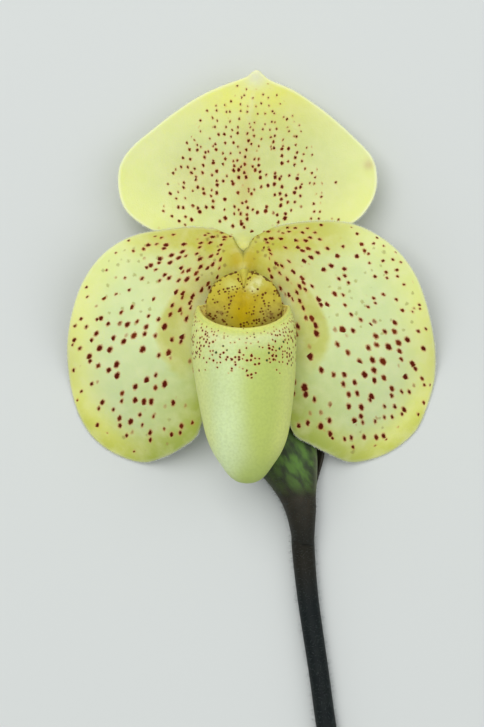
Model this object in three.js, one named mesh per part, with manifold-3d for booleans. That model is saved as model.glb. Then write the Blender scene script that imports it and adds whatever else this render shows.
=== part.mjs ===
// One bloom of a slipper orchid (Paphiopedilum, Brachypetalum type), cut with its scape and laid on its back.
// Millimetres. The bloom faces +Z, its dorsal sepal points to +Y and its scape runs away along -Y.
// It rests on three low spots: the back of the dorsal sepal and the outer lower corner of each petal.
// Shapes are worked out in the bloom's own frame, whose origin lies on the floor under the hub where
// sepals, petals, lip and column meet; the group at the end moves that hub to its place in the part.

import * as THREE from "three";
import { mergeVertices } from "three/addons/utils/BufferGeometryUtils.js";
import Module from "manifold-3d";

const wasm = await Module();
wasm.setup();

// ---- Driving dimensions, in millimetres ----
const HUB_IN_PART = [-1.75, 39.75, 0]; // puts the middle of the part's footprint on the origin
const CLEAR = 0.3; // gap left between pieces that touch
const BLADE_BASE = 1.1; // thickness of a sepal or petal at its base
const BLADE_EDGE = 0.8; // and at its margin
const FLOOR_LEVEL = 0.25; // mid-surface height of a blade that lies on the floor
const FLOOR_SOFTNESS = 0.9; // height over which a drooping petal eases on to the floor

// Dorsal sepal: a shallow cup whose lowest point is its resting spot.
const DORSAL = {
  base: [[-3.2, 3.2], [0.2, 3.0], [3.6, 3.2]],
  margin: [
    [-10.5, 4.2], [-15.5, 5.4], [-20.2, 7.6], [-23.7, 10.7], [-25.1, 15.0], [-24.8, 19.6],
    [-22.3, 23.5], [-18.4, 26.9], [-14.1, 30.3], [-9.2, 33.5], [-4.2, 35.8], [0.4, 37.4],
    [2.8, 38.7], [5.4, 36.9], [10.3, 34.8], [15.1, 31.7], [19.1, 28.5], [22.8, 25.0],
    [26.0, 21.3], [27.0, 17.2], [26.2, 12.8], [23.0, 8.6], [17.4, 5.8], [10.8, 4.2],
  ],
  lowest: [1, 16],
  sideRise: 8, // at sideReach from the midline
  sideReach: 26,
  baseBend: 0.0368, // rise per mm squared towards the base
  tipBend: 0.0169, // and towards the tip
};

// Petals: broad blades that rise from the hub, arch over and droop to their outer lower corner.
const PETAL = {
  hubHeight: 9.0,
  rise: 3.1,
  riseFrom: 2.6,
  riseOver: 8,
  topCurl: 1.7, // how far the upper margin bends back
  topCurlFrom: 1,
  topCurlOver: 5.5,
  droop: 16,
  droopFrom: 20, // distance from the hub along the droop direction
  droopAcross: 0.75, // the droop direction, across and down
  droopDown: 0.66,
};
const PETAL_LEFT = {
  droopTo: 46,
  base: [[-1.2, 5.2], [-2.3, 3.2], [-3.0, 0.6], [-3.0, -2.6]],
  margin: [
    [-5.6, 6.9], [-10.7, 7.1], [-16.2, 6.5], [-21.4, 5.5], [-26.0, 3.2], [-29.8, -0.4],
    [-32.6, -4.9], [-34.4, -10.0], [-35.5, -15.2], [-35.7, -20.4], [-35.1, -25.6],
    [-33.5, -30.9], [-30.6, -35.5], [-26.1, -38.8], [-20.6, -40.5], [-16.0, -39.3],
    [-12.2, -37.2], [-9.0, -34.4], [-7.6, -28.5], [-6.4, -21.0], [-4.8, -13.0],
  ],
};
const PETAL_RIGHT = {
  droopTo: 48.5,
  base: [[1.5, 5.2], [2.4, 3.2], [3.0, 0.6], [3.0, -2.6]],
  margin: [
    [6.4, 7.3], [11.6, 8.1], [17.0, 8.4], [22.2, 7.7], [27.0, 5.4], [31.2, 2.0],
    [34.6, -2.6], [36.8, -8.0], [38.3, -13.4], [39.2, -18.6], [39.1, -23.8],
    [37.7, -29.0], [35.4, -34.0], [31.2, -37.7], [26.6, -39.8], [21.8, -40.4],
    [17.6, -38.7], [14.0, -36.6], [10.9, -34.3], [9.0, -28.5], [7.4, -21.0], [5.4, -13.0],
  ],
};

// Synsepal: the two lower sepals in one blade, behind the pouch and over the ovary.
const SYNSEPAL = {
  hubHeight: 7.9,
  fall: 0.012, // per mm squared from the midline
  base: [[-2.2, -3.4], [0.2, -3.5], [2.6, -3.4]],
  margin: [
    [-5.2, -6.2], [-8.2, -10.2], [-9.6, -15.0], [-8.8, -20.0], [-6.2, -24.6], [-2.8, -27.6],
    [0.3, -28.8], [3.4, -27.6], [6.8, -24.6], [9.3, -20.0], [10.1, -15.0], [8.7, -10.2],
    [5.7, -6.2],
  ],
};

// Lip: stations from the rim to near the toe, each giving where the pouch's side, front and back lie
// as [y, z], its half width, and the x of its middle.
const LIP = {
  wall: 0.9,
  rimLift: 0.4,
  toe: [-43.9, 20.7],
  toeMiddle: 0.8,
  stations: [
    { side: [-9.3, 14.6], half: 9.4, middle: 0.1, front: [-14.1, 25.6], back: [-3.2, 10.1] },
    { side: [-11.4, 15.9], half: 10.0, middle: 0.1, front: [-15.5, 27.0], back: [-6.6, 9.6] },
    { side: [-14.5, 17.6], half: 10.4, middle: 0.15, front: [-18.3, 28.3], back: [-11.2, 9.8] },
    { side: [-18.5, 19.0], half: 10.3, middle: 0.2, front: [-21.6, 28.9], back: [-16.0, 10.4] },
    { side: [-24.0, 20.0], half: 9.8, middle: 0.4, front: [-26.0, 29.0], back: [-22.5, 11.5] },
    { side: [-29.5, 20.5], half: 9.0, middle: 0.6, front: [-30.6, 28.5], back: [-28.8, 12.8] },
    { side: [-34.2, 20.8], half: 8.1, middle: 0.75, front: [-34.6, 27.5], back: [-34.0, 14.3] },
    { side: [-37.6, 20.8], half: 6.8, middle: 0.8, front: [-37.8, 26.1], back: [-37.5, 15.7] },
    { side: [-40.4, 20.8], half: 5.0, middle: 0.8, front: [-40.4, 24.6], back: [-40.4, 17.1] },
    { side: [-42.5, 20.7], half: 3.4, middle: 0.8, front: [-42.5, 23.2], back: [-42.5, 18.4] },
    { side: [-43.6, 20.7], half: 1.7, middle: 0.8, front: [-43.6, 21.9], back: [-43.6, 19.5] },
  ],
  backPoint: 1.15, // section exponent of the back half at the rim: near 1 is straight-sided
  bodyRound: 2, // and from the station below the horns: 2 is an ellipse
};

// Staminode: a broad golden shield with a narrow sinus at its top and two bosses below it.
const STAMINODE = {
  centre: [0.2, -8.1],
  height: 17.2,
  dome: 1.3, // fall from the middle to the ellipse of half axes spread
  spread: [7.3, 6.3],
  thickness: 1.1,
  bossHeight: 0.8,
  bossRadius: 2.0,
  bosses: [[-2.4, -4.8], [2.6, -4.8]],
  sinus: [0.05, -5.7],
  outline: [
    [-1.1, -1.9], [-2.9, -2.5], [-5.1, -4.1], [-6.9, -6.6], [-7.1, -9.2],
    [-5.8, -12.0], [-3.2, -13.9], [0.2, -14.5], [3.7, -13.9], [6.3, -12.0], [7.5, -9.2],
    [7.3, -6.6], [5.5, -4.1], [3.2, -2.5], [1.3, -1.9],
  ],
};

// Column: from the top of the ovary, bending forward to the back of the staminode.
const COLUMN = {
  path: [[0.1, 0.2, 8.0], [0.1, 0.2, 9.2], [0.1, -0.2, 11.0], [0.1, -1.8, 13.2], [0.1, -4.6, 15.2]],
  radii: [2.4, 2.3, 2.05, 1.9, 2.1],
  stigma: { centre: [0.1, -5.6, 12.7], half: [2.4, 2.3, 0.9] },
};
const ANTHER = {
  offset: 3.7,
  centre: [-4.9, 13.6],
  half: [1.0, 1.5, 1.1],
  filamentHalf: [1.5, 0.6, 0.6],
  filamentOffset: 3.1,
};

// Ovary, bract and scape.
const OVARY = {
  path: [
    [12.1, -54.3, 3.5], [11.7, -50, 3.6], [9.6, -44, 3.7], [6.6, -31, 4.0], [3.6, -17, 4.1],
    [1.2, -7, 4.2], [0.4, -3.2, 4.4], [0.15, -0.7, 5.4], [0.1, 0.2, 6.8], [0.1, 0.2, 7.7],
  ],
  radii: [1.4, 1.8, 2.3, 2.7, 2.8, 2.75, 2.7, 2.65, 2.55, 2.5],
  ribs: 6,
  ribDepth: 0.18,
};
const SCAPE = {
  path: [
    [20.7, -118, 2.1], [19.4, -107, 2.1], [17.3, -94, 2.15], [15.9, -83.5, 2.2],
    [13.6, -67.7, 2.35], [12.5, -59, 2.6], [12.25, -56.4, 3.0], [12.1, -55.1, 3.3],
  ],
  radii: [2.0, 2.0, 2.05, 2.05, 2.15, 2.35, 2.35, 1.9],
};
const BRACT = {
  thickness: 0.7,
  path: [
    [12.2, -54.6, 3.45], [12.05, -51.7, 3.55], [11.6, -49.7, 3.65], [10.7, -47.2, 3.7],
    [9.4, -44.1, 3.75], [8.9, -41.0, 3.8], [8.6, -38.0, 3.85],
  ],
  halfWidths: [2.65, 2.95, 3.4, 4.3, 5.9, 6.6, 6.8],
  halfHeights: [2.55, 2.75, 3.0, 3.2, 3.5, 3.6, 3.6],
  nearEdge: 12, // degrees from +X towards +Z: where the front margin starts
  farEdge: 348, // and where the back margin ends, so a slit stays open on the right
  flare: 2.0, // how far the back margin stands out at the open end
  point: 5.0, // how much longer the bract is on its far left side than at the slit
};

// ---- Colours ----
const CREAM_YELLOW = 0xd9e39a;
const LEMON = 0xdde68a;
const GOLD = 0xb8a02a;
const POLLEN = 0xd8c25a;
const GREEN_BROWN = 0x6a6a3c;
const BRACT_GREEN = 0x4c6a38;
const SCAPE_BROWN = 0x2b2a26;

// ---- Helpers: curves and solids ----
const smooth = (t) => THREE.MathUtils.smoothstep(t, 0, 1);
const through2D = (points) => new THREE.SplineCurve(points.map(([x, y]) => new THREE.Vector2(x, y)));
const through3D = (points) => new THREE.CatmullRomCurve3(points.map((p) => new THREE.Vector3(...p)));

// Reads a list of numbers at t = 0..1 along a path whose points carry one number each.
function along(values, t) {
  const curve = through2D(values.map((value, i) => [i, value]));
  return curve.getPoint(t).y;
}

// A closed geometry from points and triangles, turned so that its faces look outwards.
function closedGeometry(points, triangles) {
  const volume = triangles.reduce((sum, [a, b, c]) => {
    return sum + points[a].dot(new THREE.Vector3().crossVectors(points[b], points[c]));
  }, 0);
  const facing = volume < 0 ? triangles.map(([a, b, c]) => [a, c, b]) : triangles;
  const geometry = new THREE.BufferGeometry().setFromPoints(points);
  geometry.setIndex(facing.flat());
  return geometry;
}

// Two facing sheets of rows x columns points, split into the same triangles and joined round their edge.
function sheetSolid(front, back) {
  const rows = front.length;
  const columns = front[0].length;
  const points = [...front.flat(), ...back.flat()];
  const at = (side, i, j) => side * rows * columns + i * columns + j;
  const triangles = [];
  for (let i = 0; i < rows - 1; i++) {
    for (let j = 0; j < columns - 1; j++) {
      const corners = (side) => [at(side, i, j), at(side, i + 1, j), at(side, i + 1, j + 1), at(side, i, j + 1)];
      const [a, b, c, d] = corners(0);
      const [e, f, g, h] = corners(1);
      triangles.push([a, b, c], [a, c, d], [e, g, f], [e, h, g]);
    }
  }
  const edge = [];
  for (let i = 0; i < rows - 1; i++) edge.push([i, 0]);
  for (let j = 0; j < columns - 1; j++) edge.push([rows - 1, j]);
  for (let i = rows - 1; i > 0; i--) edge.push([i, columns - 1]);
  for (let j = columns - 1; j > 0; j--) edge.push([0, j]);
  edge.forEach(([i, j], k) => {
    const [m, n] = edge[(k + 1) % edge.length];
    triangles.push([at(0, i, j), at(1, i, j), at(1, m, n)], [at(0, i, j), at(1, m, n), at(0, m, n)]);
  });
  return closedGeometry(points, triangles);
}

// Rings of equally many points, joined one to the next, with both end rings closed to their middles.
function ringSolid(rings) {
  const count = rings[0].length;
  const points = rings.flat();
  const triangles = [];
  for (let i = 0; i < rings.length - 1; i++) {
    for (let j = 0; j < count; j++) {
      const next = (j + 1) % count;
      const [a, b] = [i * count + j, i * count + next];
      triangles.push([a, b, b + count], [a, b + count, a + count]);
    }
  }
  for (const end of [0, rings.length - 1]) {
    const middle = rings[end].reduce((sum, p) => sum.add(p), new THREE.Vector3()).divideScalar(count);
    points.push(middle);
    for (let j = 0; j < count; j++) {
      const pair = [end * count + j, end * count + ((j + 1) % count)];
      triangles.push(end === 0 ? [pair[1], pair[0], points.length - 1] : [...pair, points.length - 1]);
    }
  }
  return closedGeometry(points, triangles);
}

// A round tube along a path, with a radius at each of its points. offset(angle, t) adds to the radius.
function tube(path, radii, { sides, steps, offset = () => 0, grow = 0 }) {
  const curve = through3D(path);
  const across = new THREE.Vector3(1, 0, 0);
  const rings = [];
  for (let i = 0; i <= steps; i++) {
    const t = i / steps;
    const along3D = curve.getTangent(t);
    const side = across.clone().addScaledVector(along3D, -across.dot(along3D)).normalize();
    const up = new THREE.Vector3().crossVectors(side, along3D);
    const ring = [];
    for (let j = 0; j < sides; j++) {
      const angle = (2 * Math.PI * j) / sides;
      const radius = along(radii, t) + offset(angle, t) + grow;
      const spoke = side.clone().multiplyScalar(Math.cos(angle)).addScaledVector(up, Math.sin(angle));
      ring.push(curve.getPoint(t).addScaledVector(spoke, radius));
    }
    rings.push(ring);
  }
  if (grow > 0) {
    rings[0].forEach((p) => p.addScaledVector(curve.getTangent(0), -grow));
    rings.at(-1).forEach((p) => p.addScaledVector(curve.getTangent(1), grow));
  }
  return ringSolid(rings);
}

// A blade ruled from its base line to its margin, as high as height(x, y) says, thickest at the base.
function blade({ base, margin }, height, rows, columns) {
  const baseLine = through2D(base);
  const marginLine = through2D(margin);
  const front = [];
  const back = [];
  for (let i = 0; i <= rows; i++) {
    front.push([]);
    back.push([]);
    for (let j = 0; j <= columns; j++) {
      const u = i / rows;
      const p = baseLine.getPoint(j / columns).lerp(marginLine.getPoint(j / columns), u);
      const z = height(p.x, p.y);
      const reach = 0.05;
      const slope = Math.hypot(height(p.x + reach, p.y) - z, height(p.x, p.y + reach) - z) / reach;
      const half = (THREE.MathUtils.lerp(BLADE_BASE, BLADE_EDGE, u) / 2) * Math.hypot(1, slope);
      front[i].push(new THREE.Vector3(p.x, p.y, z + half));
      back[i].push(new THREE.Vector3(p.x, p.y, z - half));
    }
  }
  return sheetSolid(front, back);
}

function ellipsoid(centre, half, segments = 14) {
  return new THREE.SphereGeometry(1, segments, segments / 2).scale(...half).translate(...centre);
}

// ---- Helpers: joining and cutting ----
function toSolid(geometry) {
  const plain = geometry.clone();
  plain.deleteAttribute("normal");
  plain.deleteAttribute("uv");
  const merged = mergeVertices(plain, 1e-4);
  const mesh = new wasm.Mesh({
    numProp: 3,
    vertProperties: merged.attributes.position.array,
    triVerts: new Uint32Array(merged.index.array),
  });
  return new wasm.Manifold(mesh);
}

function toGeometry(solid) {
  const mesh = solid.getMesh();
  const geometry = new THREE.BufferGeometry();
  geometry.setAttribute("position", new THREE.BufferAttribute(mesh.vertProperties, 3));
  geometry.setIndex(new THREE.BufferAttribute(mesh.triVerts, 1));
  return geometry;
}

const joined = (a, b) => toGeometry(toSolid(a).add(toSolid(b)));
const cut = (geometry, ...tools) =>
  toGeometry(tools.reduce((solid, tool) => solid.subtract(toSolid(tool)), toSolid(geometry)));

// Everything below the floor, which cuts the flat resting spots.
const belowFloor = new THREE.BoxGeometry(200, 300, 20).translate(0, 0, -10);

// ---- Heights of the blades' middle surfaces above the floor ----
function dorsalHeight(x, y) {
  const { lowest, sideRise, sideReach, baseBend, tipBend } = DORSAL;
  const away = y - lowest[1];
  const bend = away < 0 ? baseBend : tipBend;
  return FLOOR_LEVEL + sideRise * ((x - lowest[0]) / sideReach) ** 2 + bend * away ** 2;
}

function petalHeight(x, y, droopTo) {
  const p = PETAL;
  const out = Math.abs(x);
  const rise = p.rise * smooth((out - p.riseFrom) / p.riseOver);
  const curl = p.topCurl * Math.max(0, (y - p.topCurlFrom) / p.topCurlOver) ** 2;
  const reach = p.droopAcross * out - p.droopDown * y;
  const droop = p.droop * Math.max(0, (reach - p.droopFrom) / (droopTo - p.droopFrom)) ** 2;
  const free = p.hubHeight + rise - curl - droop;
  return FLOOR_LEVEL + FLOOR_SOFTNESS * Math.log1p(Math.exp((free - FLOOR_LEVEL) / FLOOR_SOFTNESS));
}

const synsepalHeight = (x) => SYNSEPAL.hubHeight - SYNSEPAL.fall * x ** 2;

// ---- The pieces ----
function makeDorsalSepal() {
  return cut(blade(DORSAL, dorsalHeight, 8, 40), belowFloor);
}

function makePetal(side) {
  return cut(blade(side, (x, y) => petalHeight(x, y, side.droopTo), 9, 40), belowFloor);
}

function makeSynsepal() {
  return blade(SYNSEPAL, synsepalHeight, 6, 26);
}

// The pouch: rings from the outer toe up to the rim, over it, and down inside to the inner toe.
function makeLip() {
  const { stations, toe, toeMiddle, wall, rimLift, backPoint, bodyRound } = LIP;
  const pick = (name) => through2D([...stations.map((s) => s[name]), toe]);
  const [sides, fronts, backs] = ["side", "front", "back"].map(pick);
  const halves = [...stations.map((s) => s.half), 0];
  const middles = [...stations.map((s) => s.middle), toeMiddle];
  const RINGS = 15;
  const POINTS = 28;
  const ring = (t, inset, lift) => {
    const side = sides.getPoint(t);
    const half = along(halves, t);
    const middle = along(middles, t);
    const round = THREE.MathUtils.lerp(backPoint, bodyRound, smooth(t * 3));
    const points = [];
    for (let j = 0; j < POINTS; j++) {
      const angle = (2 * Math.PI * j) / POINTS;
      const isFront = Math.sin(angle) >= 0;
      const end = (isFront ? fronts : backs).getPoint(t);
      const power = isFront ? 1 : 2 / round;
      const depth = end.clone().sub(side);
      const shrink = Math.max(0, 1 - inset / depth.length());
      const x = Math.sign(Math.cos(angle)) * Math.abs(Math.cos(angle)) ** power * Math.max(0, half - inset);
      const d = Math.abs(Math.sin(angle)) ** power * shrink;
      points.push(new THREE.Vector3(middle + x, side.x + depth.x * d + lift, side.y + depth.y * d + lift / 2));
    }
    return points;
  };
  const LAST = 0.97; // the last outer ring, just short of the toe
  const INNER_LAST = 0.93; // the last inner ring, a wall's thickness before it
  const rings = [];
  for (let i = RINGS; i >= 0; i--) rings.push(ring((LAST * i) / RINGS, 0, 0));
  rings.push(ring(0, wall / 2, rimLift));
  for (let i = 0; i < RINGS - 1; i++) rings.push(ring((INNER_LAST * i) / (RINGS - 2), wall, 0));
  return ringSolid(rings);
}

// The shield: rings from the middle of its back out to the margin and in again over its front.
// The grown copy that clears its neighbours has no sinus.
function makeStaminode(grow = 0) {
  const { centre, height, dome, spread, thickness, bossHeight, bossRadius, bosses, sinus, outline } = STAMINODE;
  const margin = grow > 0 ? outline : [sinus, ...outline];
  const curve = through2D([...margin, margin[0]]);
  const POINTS = 40;
  const RINGS = 5;
  const ring = (share, side) => {
    const points = [];
    for (let j = 0; j < POINTS; j++) {
      const p = curve.getPoint(j / POINTS);
      const away = p.clone().sub(new THREE.Vector2(...centre));
      const length = away.length();
      away.setLength((length + grow) * share);
      const [x, y] = [centre[0] + away.x, centre[1] + away.y];
      const boss = bosses.reduce((sum, [bx, by]) => {
        return sum + bossHeight * Math.exp(-((x - bx) ** 2 + (y - by) ** 2) / bossRadius ** 2);
      }, 0);
      const middle = height - dome * Math.hypot((x - centre[0]) / spread[0], (y - centre[1]) / spread[1]) ** 2;
      const half = (thickness / 2) * (1 - 0.3 * share ** 2) + grow;
      points.push(new THREE.Vector3(x, y, middle + side * half + (side > 0 ? boss * (1 - share ** 4) : 0)));
    }
    return points;
  };
  const rings = [];
  for (let i = 1; i <= RINGS; i++) rings.push(ring(i / RINGS, -1));
  for (let i = RINGS; i >= 1; i--) rings.push(ring(i / RINGS, 1));
  return ringSolid(rings);
}

function columnParts(grow = 0) {
  const { path, radii, stigma } = COLUMN;
  const stalk = tube(path, radii, { sides: 18, steps: 10, grow });
  return [stalk, ellipsoid(stigma.centre, stigma.half.map((size) => size + grow))];
}

const makeColumn = () => cut(joined(...columnParts()), makeStaminode(CLEAR));

function makeAnther(side) {
  const { offset, centre, half, filamentHalf, filamentOffset } = ANTHER;
  const pollen = ellipsoid([side * offset + 0.1, ...centre], half, 12);
  const filament = ellipsoid([side * filamentOffset + 0.1, ...centre], filamentHalf, 12);
  return cut(joined(pollen, filament), ...columnParts(CLEAR), makeStaminode(CLEAR));
}

function makeOvary() {
  const { path, radii, ribs, ribDepth } = OVARY;
  const offset = (angle) => ribDepth * Math.cos(ribs * angle);
  return tube(path, radii, { sides: 24, steps: 20, offset });
}

function makeScape() {
  return tube(SCAPE.path, SCAPE.radii, { sides: 12, steps: 24 });
}

// A leaf rolled round the foot of the ovary, with its two margins open on the right.
function makeBract() {
  const { path, halfWidths, halfHeights, nearEdge, farEdge, flare, point, thickness } = BRACT;
  const curve = through3D(path);
  const ROWS = 8;
  const COLUMNS = 26;
  const sheet = (inset) => {
    const grid = [];
    for (let i = 0; i <= ROWS; i++) {
      grid.push([]);
      for (let j = 0; j <= COLUMNS; j++) {
        const t = i / ROWS;
        const degrees = THREE.MathUtils.lerp(nearEdge, farEdge, j / COLUMNS);
        const angle = THREE.MathUtils.degToRad(degrees);
        const centre = curve.getPoint(t);
        const farSide = smooth((degrees - 270) / 78) * smooth((t - 0.4) / 0.6);
        const width = along(halfWidths, t) + flare * farSide - inset;
        const height = along(halfHeights, t) - inset;
        const longer = point * t ** 2 * Math.sin(angle / 2) ** 2;
        const x = centre.x + width * Math.cos(angle) - 0.2 * longer;
        grid[i].push(new THREE.Vector3(x, centre.y + longer, centre.z + height * Math.sin(angle)));
      }
    }
    return grid;
  };
  return sheetSolid(sheet(0), sheet(thickness));
}

// ---- The bloom ----
const bloom = new THREE.Group();
bloom.position.set(...HUB_IN_PART);

function add(name, geometry, color, roughness) {
  const mesh = new THREE.Mesh(geometry, new THREE.MeshStandardMaterial({ color, roughness, metalness: 0 }));
  mesh.name = name;
  bloom.add(mesh);
}

add("dorsal_sepal", makeDorsalSepal(), CREAM_YELLOW, 0.6);
add("synsepal", makeSynsepal(), CREAM_YELLOW, 0.6);
add("petal_left", makePetal(PETAL_LEFT), CREAM_YELLOW, 0.6);
add("petal_right", makePetal(PETAL_RIGHT), CREAM_YELLOW, 0.6);
add("lip", makeLip(), LEMON, 0.45);
add("staminode", makeStaminode(), GOLD, 0.4);
add("column", makeColumn(), GOLD, 0.5);
add("anther_left", makeAnther(-1), POLLEN, 0.6);
add("anther_right", makeAnther(1), POLLEN, 0.6);
add("ovary", makeOvary(), GREEN_BROWN, 0.7);
add("bract", makeBract(), BRACT_GREEN, 0.65);
add("scape", makeScape(), SCAPE_BROWN, 0.75);

export default bloom;
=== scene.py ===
# %% [markdown]
# # A slipper orchid bloom, cut and laid on its back
# A slipper orchid flower has a broad dorsal sepal behind it, two round petals, a pouch that insects
# fall into, and a golden shield over the column. This bloom has been cut with its stalk and rests on
# its back, so we look down into its face. The solids of every piece are already loaded as a fixed
# frame. They could be sculpted further by hand, but here each piece gets a new surface from a
# formula, so that its thin margins, spots and hairs can all be changed by changing a number.

# %% The frame and the tools
import math
from functools import partial

import bpy
import numpy as np
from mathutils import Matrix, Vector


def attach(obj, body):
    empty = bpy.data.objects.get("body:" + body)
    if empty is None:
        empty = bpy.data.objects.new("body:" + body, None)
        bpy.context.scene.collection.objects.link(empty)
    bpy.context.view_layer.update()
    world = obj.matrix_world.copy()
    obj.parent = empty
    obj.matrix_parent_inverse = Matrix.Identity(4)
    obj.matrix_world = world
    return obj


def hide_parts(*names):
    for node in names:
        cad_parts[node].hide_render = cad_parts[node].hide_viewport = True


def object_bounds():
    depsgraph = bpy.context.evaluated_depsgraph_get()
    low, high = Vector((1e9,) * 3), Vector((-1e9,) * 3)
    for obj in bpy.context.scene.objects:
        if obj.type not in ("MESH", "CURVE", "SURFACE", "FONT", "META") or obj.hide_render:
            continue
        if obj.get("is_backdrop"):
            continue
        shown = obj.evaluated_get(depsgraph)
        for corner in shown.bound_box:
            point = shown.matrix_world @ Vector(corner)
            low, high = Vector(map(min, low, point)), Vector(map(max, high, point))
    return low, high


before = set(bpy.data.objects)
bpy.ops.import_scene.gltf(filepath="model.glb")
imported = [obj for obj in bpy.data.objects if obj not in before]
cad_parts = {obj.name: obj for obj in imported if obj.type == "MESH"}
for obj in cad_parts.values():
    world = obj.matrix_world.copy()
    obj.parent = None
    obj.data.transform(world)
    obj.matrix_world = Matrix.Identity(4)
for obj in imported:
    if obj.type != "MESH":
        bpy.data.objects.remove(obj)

cad_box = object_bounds()
MM = 0.001  # Blender works in metres, and the sizes below are millimetres
HUB_IN_PART = np.array([-1.75, 39.75, 0.0])  # the flower's hub, on the floor, in the part's frame
print("solids loaded:", ", ".join(sorted(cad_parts)))

# %% [markdown]
# ## Camera
# The camera hangs half a metre above the face of the flower and looks straight down. A Blender
# camera looks along its own -Z with +Y up, so it needs no turning at all. The height of the view at
# the depth of the petals sets the focal length.

# %% The camera
VIEW_CENTRE = (-1.95, 19.45)  # where it aims, in the part's frame
PETAL_DEPTH = 12.0  # the height at which the view has the size below
CAMERA_DISTANCE = 500.0  # from the lens to the petals
VIEW_HEIGHT = 145.4
SENSOR = 36.0

camera = bpy.data.objects.new("camera", bpy.data.cameras.new("camera"))
camera.data.sensor_fit = "VERTICAL"
camera.data.sensor_width = SENSOR
camera.data.sensor_height = SENSOR
camera.data.lens = SENSOR * CAMERA_DISTANCE / VIEW_HEIGHT
camera.data.clip_start = 0.01
camera.data.clip_end = 20
camera.location = (VIEW_CENTRE[0] * MM, VIEW_CENTRE[1] * MM, (CAMERA_DISTANCE + PETAL_DEPTH) * MM)
bpy.context.scene.collection.objects.link(camera)
bpy.context.scene.camera = camera
print(f"camera: {camera.data.lens:.1f} mm lens, {CAMERA_DISTANCE:.0f} mm above the petals")

# %% [markdown]
# ## Colours and nodes
# The skin of a flower is many thin layers of tone, so each material is a long chain of shader nodes.
# They could be joined by hand in the node editor. In code, one function adds any node, sets its
# options and fills its sockets, and the others lay tones over one another. Colours are written as the
# hex values that a colour picker shows, and are turned into the linear light of the renderer.

# %% Nodes
def fill(tree, made, sockets):
    """Gives the named or numbered inputs of a node a value, or a link from a socket or a node."""
    for socket, value in sockets.items():
        if isinstance(value, bpy.types.Node):
            value = value.outputs[0]
        if isinstance(value, bpy.types.NodeSocket):
            tree.links.new(value, made.inputs[socket])
        else:
            made.inputs[socket].default_value = value
    return made


def node(tree, kind, sockets=None, **options):
    """Adds the shader node of that kind, sets its options, and fills its inputs."""
    made = tree.nodes.new("ShaderNode" + kind)
    for name, value in options.items():
        setattr(made, name, value)
    return fill(tree, made, sockets or {})


def dress(tree, **sockets):
    """Fills inputs of the Principled surface, whose names have a space for each underscore."""
    named = {socket.replace("_", " "): value for socket, value in sockets.items()}
    return fill(tree, tree.nodes["Principled BSDF"], named)


def new_material(name, **sockets):
    """A material with one Principled surface, whose inputs are given by name, and its node tree."""
    material = bpy.data.materials.new(name)
    material.use_nodes = True
    dress(material.node_tree, **sockets)
    return material, material.node_tree


# %% Colours and patterns
MIX_A, MIX_B, MIX_RESULT = 6, 7, 2  # the colour sockets of a Mix node


def linear(hex_colour):
    """An sRGB hex colour as linear red, green, blue and an alpha of one."""
    steps = [int(hex_colour[i : i + 2], 16) / 255 for i in (1, 3, 5)]
    light = [s / 12.92 if s <= 0.04045 else ((s + 0.055) / 1.055) ** 2.4 for s in steps]
    return (*light, 1.0)


def blend(tree, factor, a, b):
    """Colour a turning into colour b by a factor from 0 to 1. Either may be hex or a socket."""
    sockets = {0: factor}
    for socket, value in ((MIX_A, a), (MIX_B, b)):
        sockets[socket] = linear(value) if isinstance(value, str) else value
    return node(tree, "Mix", sockets, data_type="RGBA").outputs[MIX_RESULT]


def glaze(tree, colour, *layers):
    """Lays tones over a colour in turn. A layer is an amount from 0 to 1 and its tone.

    A third number is the most that the tone may cover, and the amount is multiplied by it.
    """
    for amount, tone, *most in layers:
        if most:
            amount = node(tree, "Math", {0: amount, 1: most[0]}, operation="MULTIPLY")
        colour = blend(tree, amount, colour, tone)
    return colour


def mottle(tree, per_metre, detail):
    """Noise that is fixed to the piece, with that many cells to the metre."""
    here = node(tree, "TexCoord").outputs["Object"]
    return node(tree, "TexNoise", {"Vector": here, "Scale": per_metre, "Detail": detail})


def patches(tree, per_metre, detail, low, high, most=1.0):
    """Cloudy patches: nothing where that noise is under low, and the most where it is over high."""
    noise = mottle(tree, per_metre, detail)
    return node(tree, "MapRange", {"Value": noise, "From Min": low, "From Max": high, "To Max": most})


def grain(tree, per_metre, detail, depth, strength):
    """A surface normal shaken by that noise, which rises by the depth in metres."""
    noise = mottle(tree, per_metre, detail)
    return node(tree, "Bump", {"Height": noise, "Distance": depth, "Strength": strength})


def painted(tree, name):
    """The three numbers that a mesh carries at each point under that name."""
    layer = node(tree, "Attribute", attribute_name=name).outputs["Vector"]
    return node(tree, "SeparateXYZ", {0: layer}).outputs


# %% [markdown]
# ## Light and floor
# Flowers look soft in wide, even light. A sun lamp would give the pouch a hard glint, so a big panel
# high on the left lights it instead, a second one on the right opens the shadows, and a pale world
# fills the rest. The floor is a plain pale disc.

# %% Floor and studio light
FLOOR_RADIUS = 4.0  # all sizes in this cell are metres
FLOOR_CORNERS = 96
FLOOR_GREY = "#d3d6d3"
WORLD_GREY = "#dfe3e6"
WORLD_STRENGTH = 0.64
LIGHT_AIM = (0.0, 0.02, 0.01)
LIGHTS = {  # watts, size and place
    "key_panel": (7.6, 0.8, (-0.3, 0.38, 1.1)),
    "fill_panel": (2.8, 1.0, (0.6, 0.1, 1.0)),
}

bpy.context.scene.view_settings.view_transform = "Standard"
world = bpy.data.worlds.new("pale_studio")
bpy.context.scene.world = world
world.use_nodes = True
sky = world.node_tree.nodes["Background"]
fill(world.node_tree, sky, {"Color": linear(WORLD_GREY), "Strength": WORLD_STRENGTH})

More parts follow.
